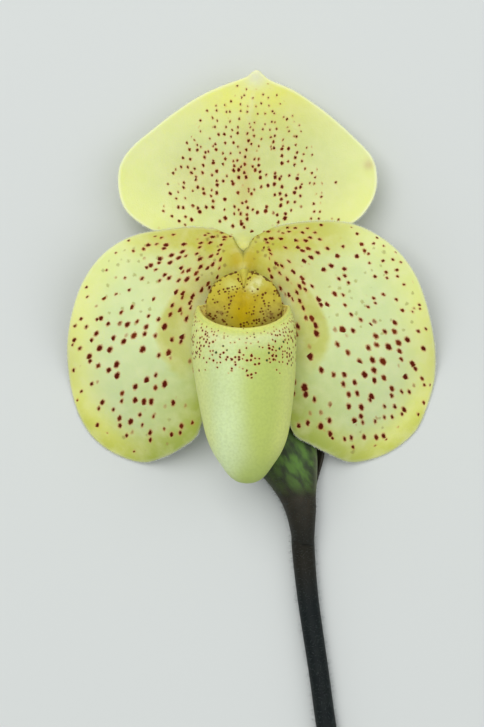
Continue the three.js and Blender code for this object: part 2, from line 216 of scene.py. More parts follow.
for name, (watts, size, where) in LIGHTS.items():
    panel = bpy.data.objects.new(name, bpy.data.lights.new(name, "AREA"))
    panel.data.energy = watts
    panel.data.size = size
    panel.location = where
    aim = np.array(LIGHT_AIM) - np.array(where)
    tilt = math.acos(-aim[2] / np.linalg.norm(aim))
    panel.rotation_euler = (tilt, 0, math.atan2(aim[1], aim[0]) - math.pi / 2)
    bpy.context.scene.collection.objects.link(panel)

turn = np.linspace(0, 2 * math.pi, FLOOR_CORNERS, endpoint=False)
disc = np.stack([np.cos(turn), np.sin(turn), np.zeros(FLOOR_CORNERS)], 1) * FLOOR_RADIUS
floor_mesh = bpy.data.meshes.new("floor")
floor_mesh.from_pydata(disc.tolist(), [], [list(range(FLOOR_CORNERS))])
floor = bpy.data.objects.new("floor", floor_mesh)
bpy.context.scene.collection.objects.link(floor)
floor_paper, _ = new_material("matt_paper", Base_Color=linear(FLOOR_GREY), Roughness=0.9)
floor.data.materials.append(floor_paper)
floor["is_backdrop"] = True
print("lights:", ", ".join(LIGHTS))

# %% [markdown]
# ## Curves and meshes
# Petals could be modelled by pulling a few points under a subdivision modifier. Here every surface is
# a function of two numbers, worked out on a grid as whole arrays, because then the same two numbers
# also say where a spot, a vein or a hair belongs. The helpers are a bell, a smooth line through a few
# given points, the quads of a grid, and a mesh builder that closes seams and poles.

# %% Curves
def smooth(t):
    """Rises from 0 to 1 with no corner at either end: 3t squared minus 2t cubed."""
    t = np.clip(t, 0, 1)
    return t * t * (3 - 2 * t)


def bump_at(distance, width):
    """A bell: one at distance zero, and e to the minus one where the distance equals the width."""
    return np.exp(-((distance / width) ** 2))


def patch_at(x, y, centre, width, wide=1.0, tall=1.0):
    """A bell round a centre, made so many times as wide and as tall."""
    return bump_at(np.hypot((x - centre[0]) / wide, (y - centre[1]) / tall), width)


def unit(vectors):
    """The same vectors with a length of one."""
    return vectors / np.linalg.norm(vectors, axis=-1, keepdims=True)


def curve_through(points, t, weighted=False):
    """A smooth line through the points, read at t = 0..1, with equal steps of t from point to point.

    Each span is the cubic whose slopes at its ends come from the neighbouring points (Catmull-Rom).
    weighted: a span counts by the root of its length, and the line runs straight past its ends.
    """
    points = np.asarray(points, float).reshape(len(points), -1)
    t = np.asarray(t, float)
    spans = len(points) - 1
    span = np.clip((t * spans).astype(int), 0, spans - 1)
    w = (t * spans - span)[..., None]
    before = 2 * points[0] - points[1] if weighted else points[0]
    after = 2 * points[-1] - points[-2] if weighted else points[-1]
    padded = np.vstack([before, points, after])
    p0, p1, p2, p3 = (padded[span + i] for i in range(4))

    def gap(a, b):
        return np.sqrt(np.linalg.norm(b - a, axis=-1, keepdims=True)) if weighted else 1.0

    d0, d1, d2 = gap(p0, p1), gap(p1, p2), gap(p2, p3)
    out = d1 * ((p1 - p0) / d0 - (p2 - p0) / (d0 + d1) + (p2 - p1) / d1)
    into = d1 * ((p2 - p1) / d1 - (p3 - p1) / (d1 + d2) + (p3 - p2) / d2)
    return p1 + out * w + (3 * (p2 - p1) - 2 * out - into) * w**2 + (2 * (p1 - p2) + out + into) * w**3


def heading(points, t, step=1e-3, weighted=False):
    """Which way that line runs at t: the difference of two close points, with a length of one."""
    return unit(curve_through(points, t + step, weighted) - curve_through(points, t - step, weighted))


# %% Meshes
WELD = 2e-4  # millimetres: points closer than this are one point


def grid_quads(rows, columns, wrap_rows=False, wrap_columns=False):
    """The quads of a grid of rows x columns points, joined across its ends where it wraps."""
    i = np.arange(rows if wrap_rows else rows - 1)[:, None]
    j = np.arange(columns if wrap_columns else columns - 1)[None, :]
    i2, j2 = (i + 1) % rows, (j + 1) % columns
    corners = [i * columns + j, i * columns + j2, i2 * columns + j2, i2 * columns + j]
    return np.stack(corners, -1).reshape(-1, 4)


def make_mesh(name, points, attributes=None, quads=None, **wrap):
    """A mesh from points in millimetres in the flower's frame, with a value of each attribute a point.

    The points are a grid that wraps as told, unless quads are given. Coinciding points are merged,
    quads that lost a corner become triangles, and all faces are turned to point outwards, which the
    sign of the enclosed volume tells.
    """
    quads = grid_quads(*points.shape[:2], **wrap) if quads is None else quads
    points = points.reshape(-1, 3)
    cells = np.round(points / WELD).astype(np.int64)
    _, first, where = np.unique(cells, axis=0, return_index=True, return_inverse=True)
    kept = points[first]
    faces = where.reshape(-1)[quads]
    a, b, c, d = np.moveaxis(kept[faces], 1, 0)
    if (np.cross(a, b) * c + np.cross(a, c) * d).sum() < 0:
        faces = faces[:, ::-1]
    same = faces == np.roll(faces, -1, axis=1)
    whole = faces[same.sum(1) == 0]
    halved = same.sum(1) == 1
    triangles = faces[halved][~same[halved]]
    corners = np.concatenate([whole.ravel(), triangles])
    sizes = np.repeat([4, 3], [len(whole), len(triangles) // 3])
    mesh = bpy.data.meshes.new(name)
    mesh.vertices.add(len(kept))
    mesh.vertices.foreach_set("co", ((kept + HUB_IN_PART) * MM).astype(np.float32).ravel())
    mesh.loops.add(len(corners))
    mesh.loops.foreach_set("vertex_index", corners.astype(np.int32))
    mesh.polygons.add(len(sizes))
    mesh.polygons.foreach_set("loop_start", (np.cumsum(sizes) - sizes).astype(np.int32))
    mesh.polygons.foreach_set("use_smooth", np.ones(len(sizes), bool))
    mesh.update(calc_edges=True)
    mesh.validate()
    for key, values in (attributes or {}).items():
        values = np.asarray(values, float).reshape(len(points), -1)[first]
        kind, field = ("FLOAT_VECTOR", "vector") if values.shape[1] == 3 else ("FLOAT", "value")
        layer = mesh.attributes.new(key, kind, "POINT")
        layer.data.foreach_set(field, values.astype(np.float32).ravel())
    return mesh


# %% A piece of the part
def place(name, mesh, material, slot, *solids):
    """Puts the mesh in the scene as a piece that rides on the part and stands for the named solids."""
    piece = bpy.data.objects.new(name, mesh)
    bpy.context.scene.collection.objects.link(piece)
    piece.data.materials.append(material)
    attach(piece, "root")
    if solids:
        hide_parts(*solids)
    print(f"{name}: {len(mesh.loops) - 2 * len(mesh.polygons)} triangles")
    return piece


# %% [markdown]
# ## Sepals and petals
# Three broad blades make up the face of the flower: the dorsal sepal at the top and a petal on either
# side. A fourth, the synsepal, hides behind the pouch. Each blade is ruled: straight lines run from a
# short base line near the hub to the long margin, and a height formula lifts them into a cup or an
# arch. A cloth simulation could also bend a flat petal, but a formula bends it the same way every
# time. Front and back lie half a thickness either side, and towards the margin that thickness falls
# away like the edge of a coin, to a thin rounded rim.

# %% Outlines of the blades
BLADE_BASE = 1.1  # thickness at the base
BLADE_EDGE = 0.8  # thickness before the rim rounds off
RIM_ROUND = 0.75  # how far in from the margin the rounding starts
FLOOR_LEVEL = 0.25  # middle of a blade that lies on the floor
FLOOR_SOFTNESS = 0.9  # over what height the floor takes hold of a drooping blade
PETAL_FAN = {"origin": (0.0, 4.5), "opens": -1, "power": 0.7, "spacing": 1.42, "at": 10.0}

DORSAL = {
    "fan": {"origin": (0.2, -14.0), "opens": 1, "power": 0.8, "spacing": 1.35, "at": 24.0},
    "base": [(-3.4, 2.4), (0.2, 1.2), (3.8, 2.4)],
    "margin": [
        (-10.5, 4.2), (-15.5, 5.4), (-20.2, 7.6), (-23.7, 10.7), (-25.1, 15.0), (-24.8, 19.6),
        (-22.3, 23.5), (-18.4, 26.9), (-14.1, 30.3), (-9.2, 33.5), (-4.2, 35.8), (0.4, 37.4),
        (2.8, 38.7), (5.4, 36.9), (10.3, 34.8), (15.1, 31.7), (19.1, 28.5), (22.8, 25.0),
        (26.0, 21.3), (27.0, 17.2), (26.2, 12.8), (23.0, 8.6), (17.4, 5.8), (10.8, 4.2),
    ],
}
PETAL_LEFT = {
    "side": -1,
    "droop_to": 46.0,
    "fan": PETAL_FAN,
    "base": [(-1.9, 5.3), (-1.1, 3.6), (0.35, 1.7), (0.9, -0.2), (0.9, -2.6)],
    "margin": [
        (-5.6, 6.9), (-10.7, 7.1), (-16.2, 6.5), (-21.4, 5.5), (-26.0, 3.2), (-29.8, -0.4),
        (-32.6, -4.9), (-34.4, -10.0), (-35.5, -15.2), (-35.7, -20.4), (-35.1, -25.6),
        (-33.5, -30.9), (-30.6, -35.5), (-26.1, -38.8), (-20.6, -40.5), (-16.0, -39.3),
        (-12.2, -37.2), (-9.0, -34.4), (-7.6, -28.5), (-6.4, -21.0), (-4.8, -13.0),
    ],
}
PETAL_RIGHT = {
    "side": 1,
    "droop_to": 48.5,
    "fan": PETAL_FAN,
    "base": [(2.3, 5.3), (1.15, 3.65), (-0.25, 1.7), (-0.8, -0.2), (-0.8, -2.6)],
    "margin": [
        (6.4, 7.3), (11.6, 8.1), (17.0, 8.4), (22.2, 7.7), (27.0, 5.4), (31.2, 2.0),
        (34.6, -2.6), (36.8, -8.0), (38.3, -13.4), (39.2, -18.6), (39.1, -23.8),
        (37.7, -29.0), (35.4, -34.0), (31.2, -37.7), (26.6, -39.8), (21.8, -40.4),
        (17.6, -38.7), (14.0, -36.8), (10.3, -34.5), (8.6, -29.5), (7.4, -21.0), (5.4, -13.0),
    ],
}
PETALS = {"left": PETAL_LEFT, "right": PETAL_RIGHT}
SYNSEPAL = {
    "fan": {"origin": (0.2, 8.0), "opens": -1, "power": 0.8, "spacing": 1.8, "at": 20.0},
    "base": [(-2.2, -3.4), (0.2, -3.5), (2.6, -3.4)],
    "margin": [
        (-5.2, -6.2), (-8.2, -10.2), (-9.6, -15.0), (-8.8, -20.0), (-6.2, -24.6), (-2.8, -27.6),
        (0.3, -28.8), (3.4, -27.6), (6.8, -24.6), (9.3, -20.0), (10.1, -15.0), (8.7, -10.2),
        (5.7, -6.2),
    ],
}
print("margins:", len(DORSAL["margin"]), len(PETAL_LEFT["margin"]), len(PETAL_RIGHT["margin"]))


# %% Heights of the blades
def dorsal_midline(y):
    """Where the midrib of the dorsal sepal runs: straight up, then bent to the tip on the right."""
    return 0.2 + 2.6 * np.clip((y - 4) / 34, 0, 1) ** 3


def dorsal_height(x, y):
    """A shallow cup, lowest at (1, 16): a parabola to each side, and others to the base and the tip.

    A low midrib runs to the tip, and a heel lifts the middle of the base up to the petals.
    """
    away = y - 16
    cup = FLOOR_LEVEL + 8 * ((x - 1) / 26) ** 2 + np.where(away < 0, 0.0368, 0.0169) * away**2
    rib = 0.28 * bump_at(x - dorsal_midline(y), 1.1) * smooth((y - 18) / 14)
    waves = 0.16 * np.sin(0.42 * x + 1.1) * np.sin(0.31 * y) * smooth((np.hypot(x - 1, y - 18) - 8) / 12)
    heel = (3.4 * smooth((7 - y) / 4) - 2.2 * smooth((3.5 - y) / 2.3)) * bump_at(x - 0.2, 2.2)
    return cup + rib + waves + heel


CREASE = np.array([  # the fold of a petal beside the pouch: how far out it lies at each y
    (-27.0, 9.6), (-24.0, 12.1), (-21.8, 14.4), (-18.3, 16.7), (-15.4, 17.5), (-11.6, 16.8),
    (-7.8, 14.8), (-4.0, 12.0), (-0.8, 9.2), (2.0, 7.0), (5.0, 5.6),
])


def crease_side(x, y):
    """Millimetres from the fold towards the pouch, negative on the outer side of it."""
    return np.interp(y, *CREASE.T) - np.abs(x)


def petal_height(x, y, outline):
    """An arch that rises from the hub, bends back at the top and droops to the outer lower corner.

    The floor stops it softly. Beside the pouch the blade folds down along the crease, and at the hub
    a shoulder with a narrow ridge runs up on to the column. Past the midline the blade sinks, so that
    it slips under the other petal and no seam shows.
    """
    out = np.abs(x)
    rise = 3.1 * smooth((out - 2.6) / 8)
    curl = 1.7 * np.maximum(0, (y - 1) / 5.5) ** 2
    reach = 0.75 * out - 0.66 * y
    droop = 16 * np.maximum(0, (reach - 20) / (outline["droop_to"] - 20)) ** 2
    past = np.maximum(0, -outline["side"] * x)
    shoulder = 3.2 * bump_at(out, 4.4) * bump_at(y + 0.4, 3.4)
    shoulder = shoulder + 1.6 * bump_at(out, 2.6) * bump_at(y + 1.8, 2.5)
    ridge = 0.5 * bump_at(out, 0.75) * smooth((2.8 - y) / 4) - 0.5 * past**2
    free = 9 + rise + shoulder + ridge - curl - droop
    height = FLOOR_LEVEL + FLOOR_SOFTNESS * np.log1p(np.exp((free - FLOOR_LEVEL) / FLOOR_SOFTNESS))
    inside = crease_side(x, y)
    held = smooth((y + 27) / 9) * smooth((-2.5 - y) / 6)
    fold = 0.22 * bump_at(inside, 1.6) - 0.6 * smooth((inside - 0.2) / 3.8)
    waves = 0.2 * np.sin(0.33 * out - 0.2 * y) * smooth((np.hypot(x, y) - 12) / 14) * smooth((free - 2) / 4)
    return height + fold * held + waves


def synsepal_height(x, y):
    """A shallow arch across the midline, the same at every y."""
    return 7.9 - 0.012 * x**2


# %% The blade surface
MARGIN_SAMPLES, SIDE_SAMPLES, BASE_SAMPLES = 700, 80, 200  # points that stand for a blade's edges


def blade_lines(outline, u, v):
    """Where the ruled line number v stands at share u of its way from the base line to the margin."""
    base = curve_through(outline["base"], v)
    margin = curve_through(outline["margin"], v)
    return base * (1 - u[..., None]) + margin * u[..., None]


def nearest(line, x, y):
    """The distance of each point to the nearest point of the line."""
    dx = x.reshape(-1, 1).astype(np.float32) - line[:, 0].astype(np.float32)
    dy = y.reshape(-1, 1).astype(np.float32) - line[:, 1].astype(np.float32)
    return np.sqrt((dx * dx + dy * dy).min(1)).reshape(x.shape)


def edge_distances(outline, x, y):
    """The distance of each point to the margin, and to the nearest of the blade's four edges."""
    u = np.linspace(0, 1, SIDE_SAMPLES)
    lines = [blade_lines(outline, u, np.full(SIDE_SAMPLES, end)) for end in (0.0, 1.0)]
    lines.append(curve_through(outline["base"], np.linspace(0, 1, BASE_SAMPLES)))
    to_margin = nearest(curve_through(outline["margin"], np.linspace(0, 1, MARGIN_SAMPLES)), x, y)
    return to_margin, np.minimum.reduce([to_margin, *(nearest(line, x, y) for line in lines)])


def blade_points(outline, height, rows, columns):
    """Front and back points of a blade, base row to margin row and back.

    Also gives the front's x and y and its distance to the margin. The rows crowd towards the margin,
    and the columns towards its two ends.
    """
    u_line = 1 - (1 - np.linspace(0, 1, rows)) ** 1.7
    s = np.linspace(0, 1, columns)
    v_line = s - 0.12 * np.sin(2 * math.pi * s) / math.pi
    u, v = np.meshgrid(u_line, v_line, indexing="ij")
    flat = blade_lines(outline, u, v)
    x, y = flat[..., 0], flat[..., 1]
    z = height(x, y)
    slope = np.hypot(height(x + 0.05, y) - z, height(x, y + 0.05) - z) / 0.05
    to_margin, to_edge = edge_distances(outline, x, y)
    to_edge[0] = to_edge[-1] = to_edge[:, 0] = to_edge[:, -1] = 0
    rounding = np.sqrt(1 - (1 - np.minimum(to_edge / RIM_ROUND, 1)) ** 2)
    half = (BLADE_BASE + (BLADE_EDGE - BLADE_BASE) * u) / 2 * np.hypot(1, slope) * rounding
    front = np.stack([x, y, np.maximum(z + half, 0.06)], -1)
    back = np.stack([x, y, np.maximum(z - half, 0.0)], -1)
    back[[0, -1]] = front[[0, -1]]
    back[:, [0, -1]] = front[:, [0, -1]]
    return np.concatenate([front, back[::-1]]), x, y, to_margin


def both_sides(values):
    """Values of the front rows, repeated for the back rows in their reversed order."""
    return np.concatenate([values, values[::-1]])


def fanned(x, y, origin, opens, power, spacing, at):
    """Where each point lies in a pattern of cells that fans out from an origin, as veins do.

    The point, seen from the origin as a complex number, is raised to a power below one. That keeps
    the cells' shape but lets them grow outwards: spacing is their size at the distance called at.
    opens is 1 where the fan opens to +Y and -1 to -Y. The third number is a cell's size there.
    """
    dx, dy = x - origin[0], (y - origin[1]) * opens
    away = np.maximum(np.hypot(dx, dy), 0.4)
    bearing = np.arctan2(dx, dy)
    size = spacing * (away / at) ** (1 - power)
    reach = away / (size * power)
    return np.stack([reach * np.cos(power * bearing), reach * np.sin(power * bearing), size], -1)


# %% [markdown]
# ## Skin of the sepals and petals
# The flesh is thick, waxy and slightly velvety, pale lemon with a green cast, golden near the hub.
# Its maroon spots lie along the veins, drawn out near the base and round further out. They could be
# painted on an image, but a pattern stays sharp at any size. A Voronoi texture in the fan of the
# veins gives one spot a cell, and a painted density says which cells stay empty. The mesh carries
# these densities and the tints as a few numbers a point, which are called painted values below.

# %% Spots
HALO_WIDTH = 0.3  # millimetres that the pigment bleeds past a spot's edge
CELL_DISORDER = 0.92  # from 0, spots in rows, to 1, spots strewn freely
SMALLEST, MORE = 0.72, 0.55  # the smallest share of the painted size, and how much more a draw can add
FRAYS = 4.5  # how many times the noise that frays a spot's edge fits into a cell
FADE = 14.0  # how steeply spots appear where the painted density exceeds the draw of their cell


def spot_layer(tree, pattern, density, size, squash, softness, ragged, swerve=0.0):
    """How much of a spot covers each point: one where the point lies within the radius of its cell.

    The way from the middle of the cell is measured in millimetres, and the part of it that runs
    along the vein counts for less where squash is below zero, which draws the spot out. The vein
    runs away from the origin of the pattern, turned by the angle swerve. The radius is the painted
    size times a draw of the cell, and nothing where another draw is over the painted density. The
    edge is soft over a share of that size. Also gives a halo round the spot, where its pigment has
    bled into the flesh, and a third draw of the cell, for its colour.
    """
    grid = {"Vector": pattern, "Scale": 1.0, "Randomness": CELL_DISORDER}
    cell = node(tree, "TexVoronoi", grid, voronoi_dimensions="2D").outputs
    here = node(tree, "SeparateXYZ", {0: pattern}).outputs
    flat = node(tree, "CombineXYZ", {"X": here["X"], "Y": here["Y"]})
    offset = node(tree, "VectorMath", {0: flat, 1: cell["Position"]}, operation="SUBTRACT")
    in_mm = node(tree, "VectorMath", {0: offset, "Scale": here["Z"]}, operation="SCALE")
    noise = node(tree, "TexNoise", {"Vector": flat, "Scale": FRAYS, "Detail": 2.0}).outputs["Color"]
    centred = node(tree, "VectorMath", {0: noise, 1: (0.5, 0.5, 0.5)}, operation="SUBTRACT")
    push = node(tree, "VectorMath", {0: centred, "Scale": ragged}, operation="SCALE")
    bent = node(tree, "VectorMath", {0: in_mm, 1: push}, operation="ADD")
    straight = node(tree, "VectorMath", {0: flat}, operation="NORMALIZE")
    vein = node(tree, "VectorRotate", {"Vector": straight, "Angle": swerve}, rotation_type="Z_AXIS")
    along = node(tree, "VectorMath", {0: bent, 1: vein}, operation="DOT_PRODUCT").outputs["Value"]
    less = node(tree, "Math", {0: along, 1: squash}, operation="MULTIPLY")
    shift = node(tree, "VectorMath", {0: vein, "Scale": less}, operation="SCALE")
    drawn = node(tree, "VectorMath", {0: bent, 1: shift}, operation="ADD")
    level = node(tree, "VectorMath", {0: drawn, 1: (1, 1, 0)}, operation="MULTIPLY")
    distance = node(tree, "VectorMath", {0: level}, operation="LENGTH").outputs["Value"]
    draws = node(tree, "SeparateColor", {0: cell["Color"]}).outputs
    share = node(tree, "Math", {0: draws["Red"], 1: MORE, 2: SMALLEST}, operation="MULTIPLY_ADD")
    spare = node(tree, "Math", {0: density, 1: draws["Green"]}, operation="SUBTRACT")
    there = node(tree, "Math", {0: spare, 1: FADE}, operation="MULTIPLY", use_clamp=True)
    whole = node(tree, "Math", {0: share, 1: size}, operation="MULTIPLY")
    radius = node(tree, "Math", {0: whole, 1: there}, operation="MULTIPLY")
    blur = node(tree, "Math", {0: size, 1: softness}, operation="MULTIPLY")
    outer = node(tree, "Math", {0: radius, 1: blur}, operation="ADD")
    inner = node(tree, "Math", {0: radius, 1: blur}, operation="SUBTRACT")
    bled = node(tree, "Math", {0: radius, 1: HALO_WIDTH}, operation="ADD")
    covers = []
    for none, full in ((outer, inner), (bled, radius)):
        reach = {"Value": distance, "From Min": none, "From Max": full}
        cover = node(tree, "MapRange", reach, interpolation_type="SMOOTHSTEP")
        covers.append(node(tree, "Math", {0: cover, 1: there}, operation="MULTIPLY").outputs[0])
    return *covers, draws["Blue"]


# %% Petal skin
CREAM, LEMON = "#d1dfa8", "#f5f78f"  # the flesh, paler and yellower
# Gold and olive are partly the flesh and partly painted shade; the deepest green is painted shade alone.
GOLD_FLESH, OLIVE_FLESH, PAINTED_SHADE_GREEN = "#c3bd48", "#adb852", "#93a552"
# On the dorsal sepal's middle the tan is partly painted shade.
BLUSH, OCHRE = "#cdbd80", "#c0a41e"  # tan beside the hub, and the darkest gold at it
# The pale tint is also painted light, beside the shield and on the dorsal sepal's flanks.
PALE_TIP_AND_PAINTED_LIGHT = "#eef0dc"  # the sepal's tip and the thin rims
CLOUD = "#eeeebb"
MAROON, RUST = "#591402", "#9c4a1a"  # a spot's core and its edge
BLEEDING = "#d69a64"  # the flesh round a spot
GHOST, FAINT_BROWN = "#a8a660", "#8a6a34"  # spots under the skin, on pale and on golden flesh


def petal_skin():
    """Waxy orchid flesh: pale lemon, golden at the heart, with maroon spots and a fine velvet.

    Its gold, olive and deepest tints also lay painted shade, and its pale tint painted light in places.
    """
    material, tree = new_material(
        "waxy_petal_flesh",
        Roughness=0.55,
        IOR=1.4,
        Specular_IOR_Level=0.1,
        Subsurface_Radius=(1.0, 0.9, 0.35),
        Subsurface_Scale=0.0008,
    )
    lemon, gold, olive = painted(tree, "tints")
    blush, deep, tip = painted(tree, "tones")
    density, size, squash = painted(tree, "marks")
    ghostly, ochre, swerve = painted(tree, "faint_marks")
    pattern = node(tree, "Attribute", attribute_name="fan").outputs["Vector"]
    flesh = blend(tree, lemon, CREAM, LEMON)
    # Gold, olive and the deepest green lay painted shade as well as the flesh's own tones.
    flesh = glaze(tree, flesh, (blush, BLUSH), (gold, GOLD_FLESH), (olive, OLIVE_FLESH), (deep, PAINTED_SHADE_GREEN))
    clouds = patches(tree, 330.0, 5.0, 0.42, 0.75, 0.3)
    flesh = glaze(tree, flesh, (tip, PALE_TIP_AND_PAINTED_LIGHT), (ochre, OCHRE), (clouds, CLOUD))
    elsewhere = node(tree, "VectorMath", {0: pattern, 1: (7.3, 3.1, 0.0)}, operation="ADD")
    ghosts, _, _ = spot_layer(tree, elsewhere, ghostly, 0.3, 0.0, 0.6, 0.7)
    spots, halo, draw = spot_layer(tree, pattern, density, size, squash, 0.42, 0.5, swerve)
    core = node(tree, "MapRange", {"Value": spots, "From Min": 0.3, "From Max": 0.95})
    weak = node(tree, "MapRange", {"Value": draw, "From Min": 0.5, "To Min": 1.0, "To Max": 0.72})
    dark = node(tree, "Math", {0: core, 1: weak}, operation="MULTIPLY")
    ghost_tone = blend(tree, gold, GHOST, FAINT_BROWN)
    spot_tone = blend(tree, dark, RUST, MAROON)
    colour = glaze(tree, flesh, (ghosts, ghost_tone, 0.65), (halo, BLEEDING, 0.42), (spots, spot_tone))
    glow = node(tree, "MapRange", {"Value": spots, "To Min": 0.35, "To Max": 0.02})
    velvet = grain(tree, 3300.0, 3.0, 0.00012, 0.5)
    dress(tree, Base_Color=colour, Subsurface_Weight=glow, Normal=velvet)
    return material


petal_flesh = petal_skin()
print("material:", petal_flesh.name)


# %% Tints of the petals
def petal_tints(x, y, rim, side):
    """How lemon, gold and olive the flesh is, and how tan, shaded and pale.

    Each is a sum of soft bands along the margin and soft patches. Gold and olive are partly the real
    flesh, such as the golden heart, and partly painted shade: in the fold and the lower flesh beside
    the pouch, along the top where the petal lies over the dorsal sepal, and towards the lower margin.
    The second tone is painted shade in the lower inner corner, and the pale one is partly painted
    light in the gap beside the shield. The right petal is a little darker.
    """
    out = side * x
    right = float(side > 0)
    inside = crease_side(x, y)
    # wedge: painted shade in the fold beside the pouch, over the petal's own deeper yellow
    wedge = smooth((inside + 0.4) / 1.1) * smooth((y + 27 - 2.5 * right) / 8) * smooth((-2.5 - y) / 5)
    heart = patch_at(x, y, (0, 1), 10.0)
    # top_band: painted shade along the top, where the petal lies over the dorsal sepal
    top_band = smooth((y - 1.0 + 0.05 * out) / 4.2) * smooth((28 - out) / 15)
    outer = smooth(1 - rim / 9) * smooth((out - 8) / 14)
    # low_band, low_rim and lower darken the flesh towards the lower margin, partly as painted shade
    low_band = smooth((-24 - y) / 11) * smooth(1 - rim / 8)
    low_rim = smooth((-8 - y) / 14) * smooth(1 - rim / 3.5)
    # corner: painted shade in the lower inner corner of the petal
    corner = smooth((-30 - y) / 9) * smooth((22 - out) / 9)
    lower = smooth((-15 - y) / 16) * smooth((30 - out) / 14)
    upper = smooth((y + 14) / 12) * smooth((26 - out) / 10) * smooth((out - 5) / 5)
    # beside_pouch: olive that is partly painted shade
    beside_pouch = patch_at(out, y, (9.5, -27), 7.0, wide=0.7)
    beside_tip = patch_at(x, y, (0.1, 3.2), 1.5, tall=1.7)
    yellower = 0.34 + 0.36 * smooth((2 - y) / 16)
    lemon = np.clip(0.08 + yellower * outer - 0.25 * lower + 0.3 * low_band + 0.12 * top_band, 0, 1)
    lemon = np.clip(lemon + 0.4 * beside_tip, 0, 1)
    # Less gold in the wedge beside the shield is painted light.
    gold = (0.62 - 0.3 * bump_at(out - 8.0, 3.0)) * wedge + heart + 0.56 * top_band
    gold = gold + 0.08 * outer + 0.14 * upper + (0.44 - 0.22 * right) * low_band + 0.2 * low_rim
    gold = gold + 0.14 * right * patch_at(out, y, (5.5, 1), 4.5)
    gold = gold * (1 - 0.6 * beside_tip)
    olive = 0.42 * low_band + (0.42 - 0.08 * right) * lower + (0.28 + 0.12 * right) * beside_pouch
    olive = olive + 0.2 * right * wedge + 0.12 * top_band + 0.14 * low_rim + 0.05 * right
    blush = 0.62 * patch_at(out, y, (9.0, -7.0), 4.8) + 0.15 * bump_at(np.hypot(x, y) - 7.5, 3.0)
    # The pale patch beside the shield is painted light in the gap there; the pale along the rims matches
    # the white fringe.
    pale = 0.25 * smooth(1 - rim / 0.7) + 0.3 * patch_at(out, y, (7.6, -9), 2.4, tall=1.6)
    tints = np.stack([lemon, np.clip(gold, 0, 0.95), np.clip(olive, 0, 0.95)], -1)
    tones = np.stack([blush, 0.5 * corner * smooth(1.3 - rim / 12), pale], -1)
    return {"tints": tints, "tones": tones}


# %% Spots of the petals
# Each table gives distances from the hub, and the share of cells with a spot or a spot's radius there.
UPPER_FILL = ([4, 5.2, 7.5, 11, 16, 22, 27, 31, 38], [0.05, 0.52, 0.66, 0.74, 0.66, 0.44, 0.6, 0.7, 0.7])
LOWER_FILL = ([4, 9, 15, 20, 24, 31, 38, 44], [0.6, 0.9, 0.8, 0.46, 0.36, 0.46, 0.72, 0.74])
UPPER_SIZE = ([5, 8, 11, 16, 22, 27, 34, 40], [0.33, 0.38, 0.38, 0.42, 0.37, 0.32, 0.30, 0.32])
LOWER_SIZE = ([6, 10, 16, 24, 32, 38, 44], [0.36, 0.44, 0.52, 0.56, 0.53, 0.46, 0.40])


def spot_marks(density, size, stretch):
    """Density, radius across the vein and squash of spots drawn out by stretch, with their area kept."""
    return np.stack([density, size / np.sqrt(stretch), 1 / stretch - 1], -1)


def petal_marks(x, y, rim, side):
    """How dense, large and drawn out the spots are, and where the faint ones and the ochre lie.

    The upper and the lower half of a petal each have a table of their own. The lower corner and the
    margin stay bare, and so does a patch beside the hub on the right petal.
    """
    out = side * x
    away = np.hypot(x, y)
    right = float(side > 0)
    low = smooth((-9 - y) / 6)
    density, low_density = (np.interp(away, *table) for table in (UPPER_FILL, LOWER_FILL))
    density = density + (low_density - density) * low
    bare = smooth((-30 - y) / 7) * smooth(1.25 - rim / 4) + right * patch_at(out, y, (2.9, 4.3), 1.6)
    density = np.clip(density * (1 - bare) * smooth(rim - 0.2), 0, 1)
    size, low_size = (np.interp(away, *table) for table in (UPPER_SIZE, LOWER_SIZE))
    size = size + (low_size * (1 + 0.12 * right) - size) * low
    size = size * (1 - 0.25 * smooth(1 - rim / 5))
    stretch = 1.45 + 0.75 * smooth((22 - away) / 12) - 0.3 * smooth((y + 8) / 8)
    ghost = 0.42 * smooth((out - 14) / 8) * smooth((y + 17) / 9) * smooth((rim - 0.8) / 2)
    ghost = ghost + 0.25 * smooth((-27 - y) / 8) + 0.5 * bump_at(away - 6.0, 2.6)
    ochre = 0.45 * patch_at(out, y, (1.4, 0.8), 1.3, tall=1.9)
    ochre = ochre + 0.32 * patch_at(x, y, (0, -0.5), 3.6, tall=0.9)
    swerve = np.full_like(x, -0.25 * side)
    faint_marks = np.stack([ghost, ochre, swerve], -1)
    return {"marks": spot_marks(density, size, stretch), "faint_marks": faint_marks}


def petal_paint(x, y, rim, side):
    """All painted values of a petal."""
    return petal_tints(x, y, rim, side) | petal_marks(x, y, rim, side)


# %% The petals
def make_blade(name, solid, outline, height, paint, rows=64, columns=230):
    """One blade with its painted values, standing for the solid of that name."""
    points, x, y, rim = blade_points(outline, height, rows, columns)
    values = paint(x, y, rim) | {"fan": fanned(x, y, **outline["fan"])}
    values = {key: both_sides(front) for key, front in values.items()}
    return place(name, make_mesh(name, points, values, wrap_rows=True), petal_flesh, "tepal", solid)


for word, outline in PETALS.items():
    height = partial(petal_height, outline=outline)
    paint = partial(petal_paint, side=outline["side"])
    make_blade(f"petal_{word}_blade", f"petal_{word}", outline, height, paint)

# %% [markdown]
# ## The two sepals
# The dorsal sepal is the broad blade at the top, dusted with spots that grow finer to its tip. Below
# the pouch two more sepals have grown together into the synsepal, which hardly shows from the front.
# Each could have a skin of its own, but they are the same flesh as the petals, so they share its
# material and only bring their own painted values.

# %% The dorsal sepal
# Tables along y: half the width of the spotted part, the share of cells with a spot, and spot radius.
SPOTTED_WIDTH = ([10, 16, 20, 25, 28, 31, 35], [18.0, 17.0, 16.0, 14.5, 12.5, 10.0, 5.5])
DORSAL_FILL = (
    [5, 7, 9, 13, 16, 20, 24, 28, 32, 35],
    [0.0, 0.32, 0.36, 0.5, 0.66, 0.82, 0.92, 1.0, 1.0, 0.9],
)
DORSAL_SIZE = ([6, 12, 19, 25, 30, 36], [0.36, 0.34, 0.30, 0.24, 0.175, 0.14])


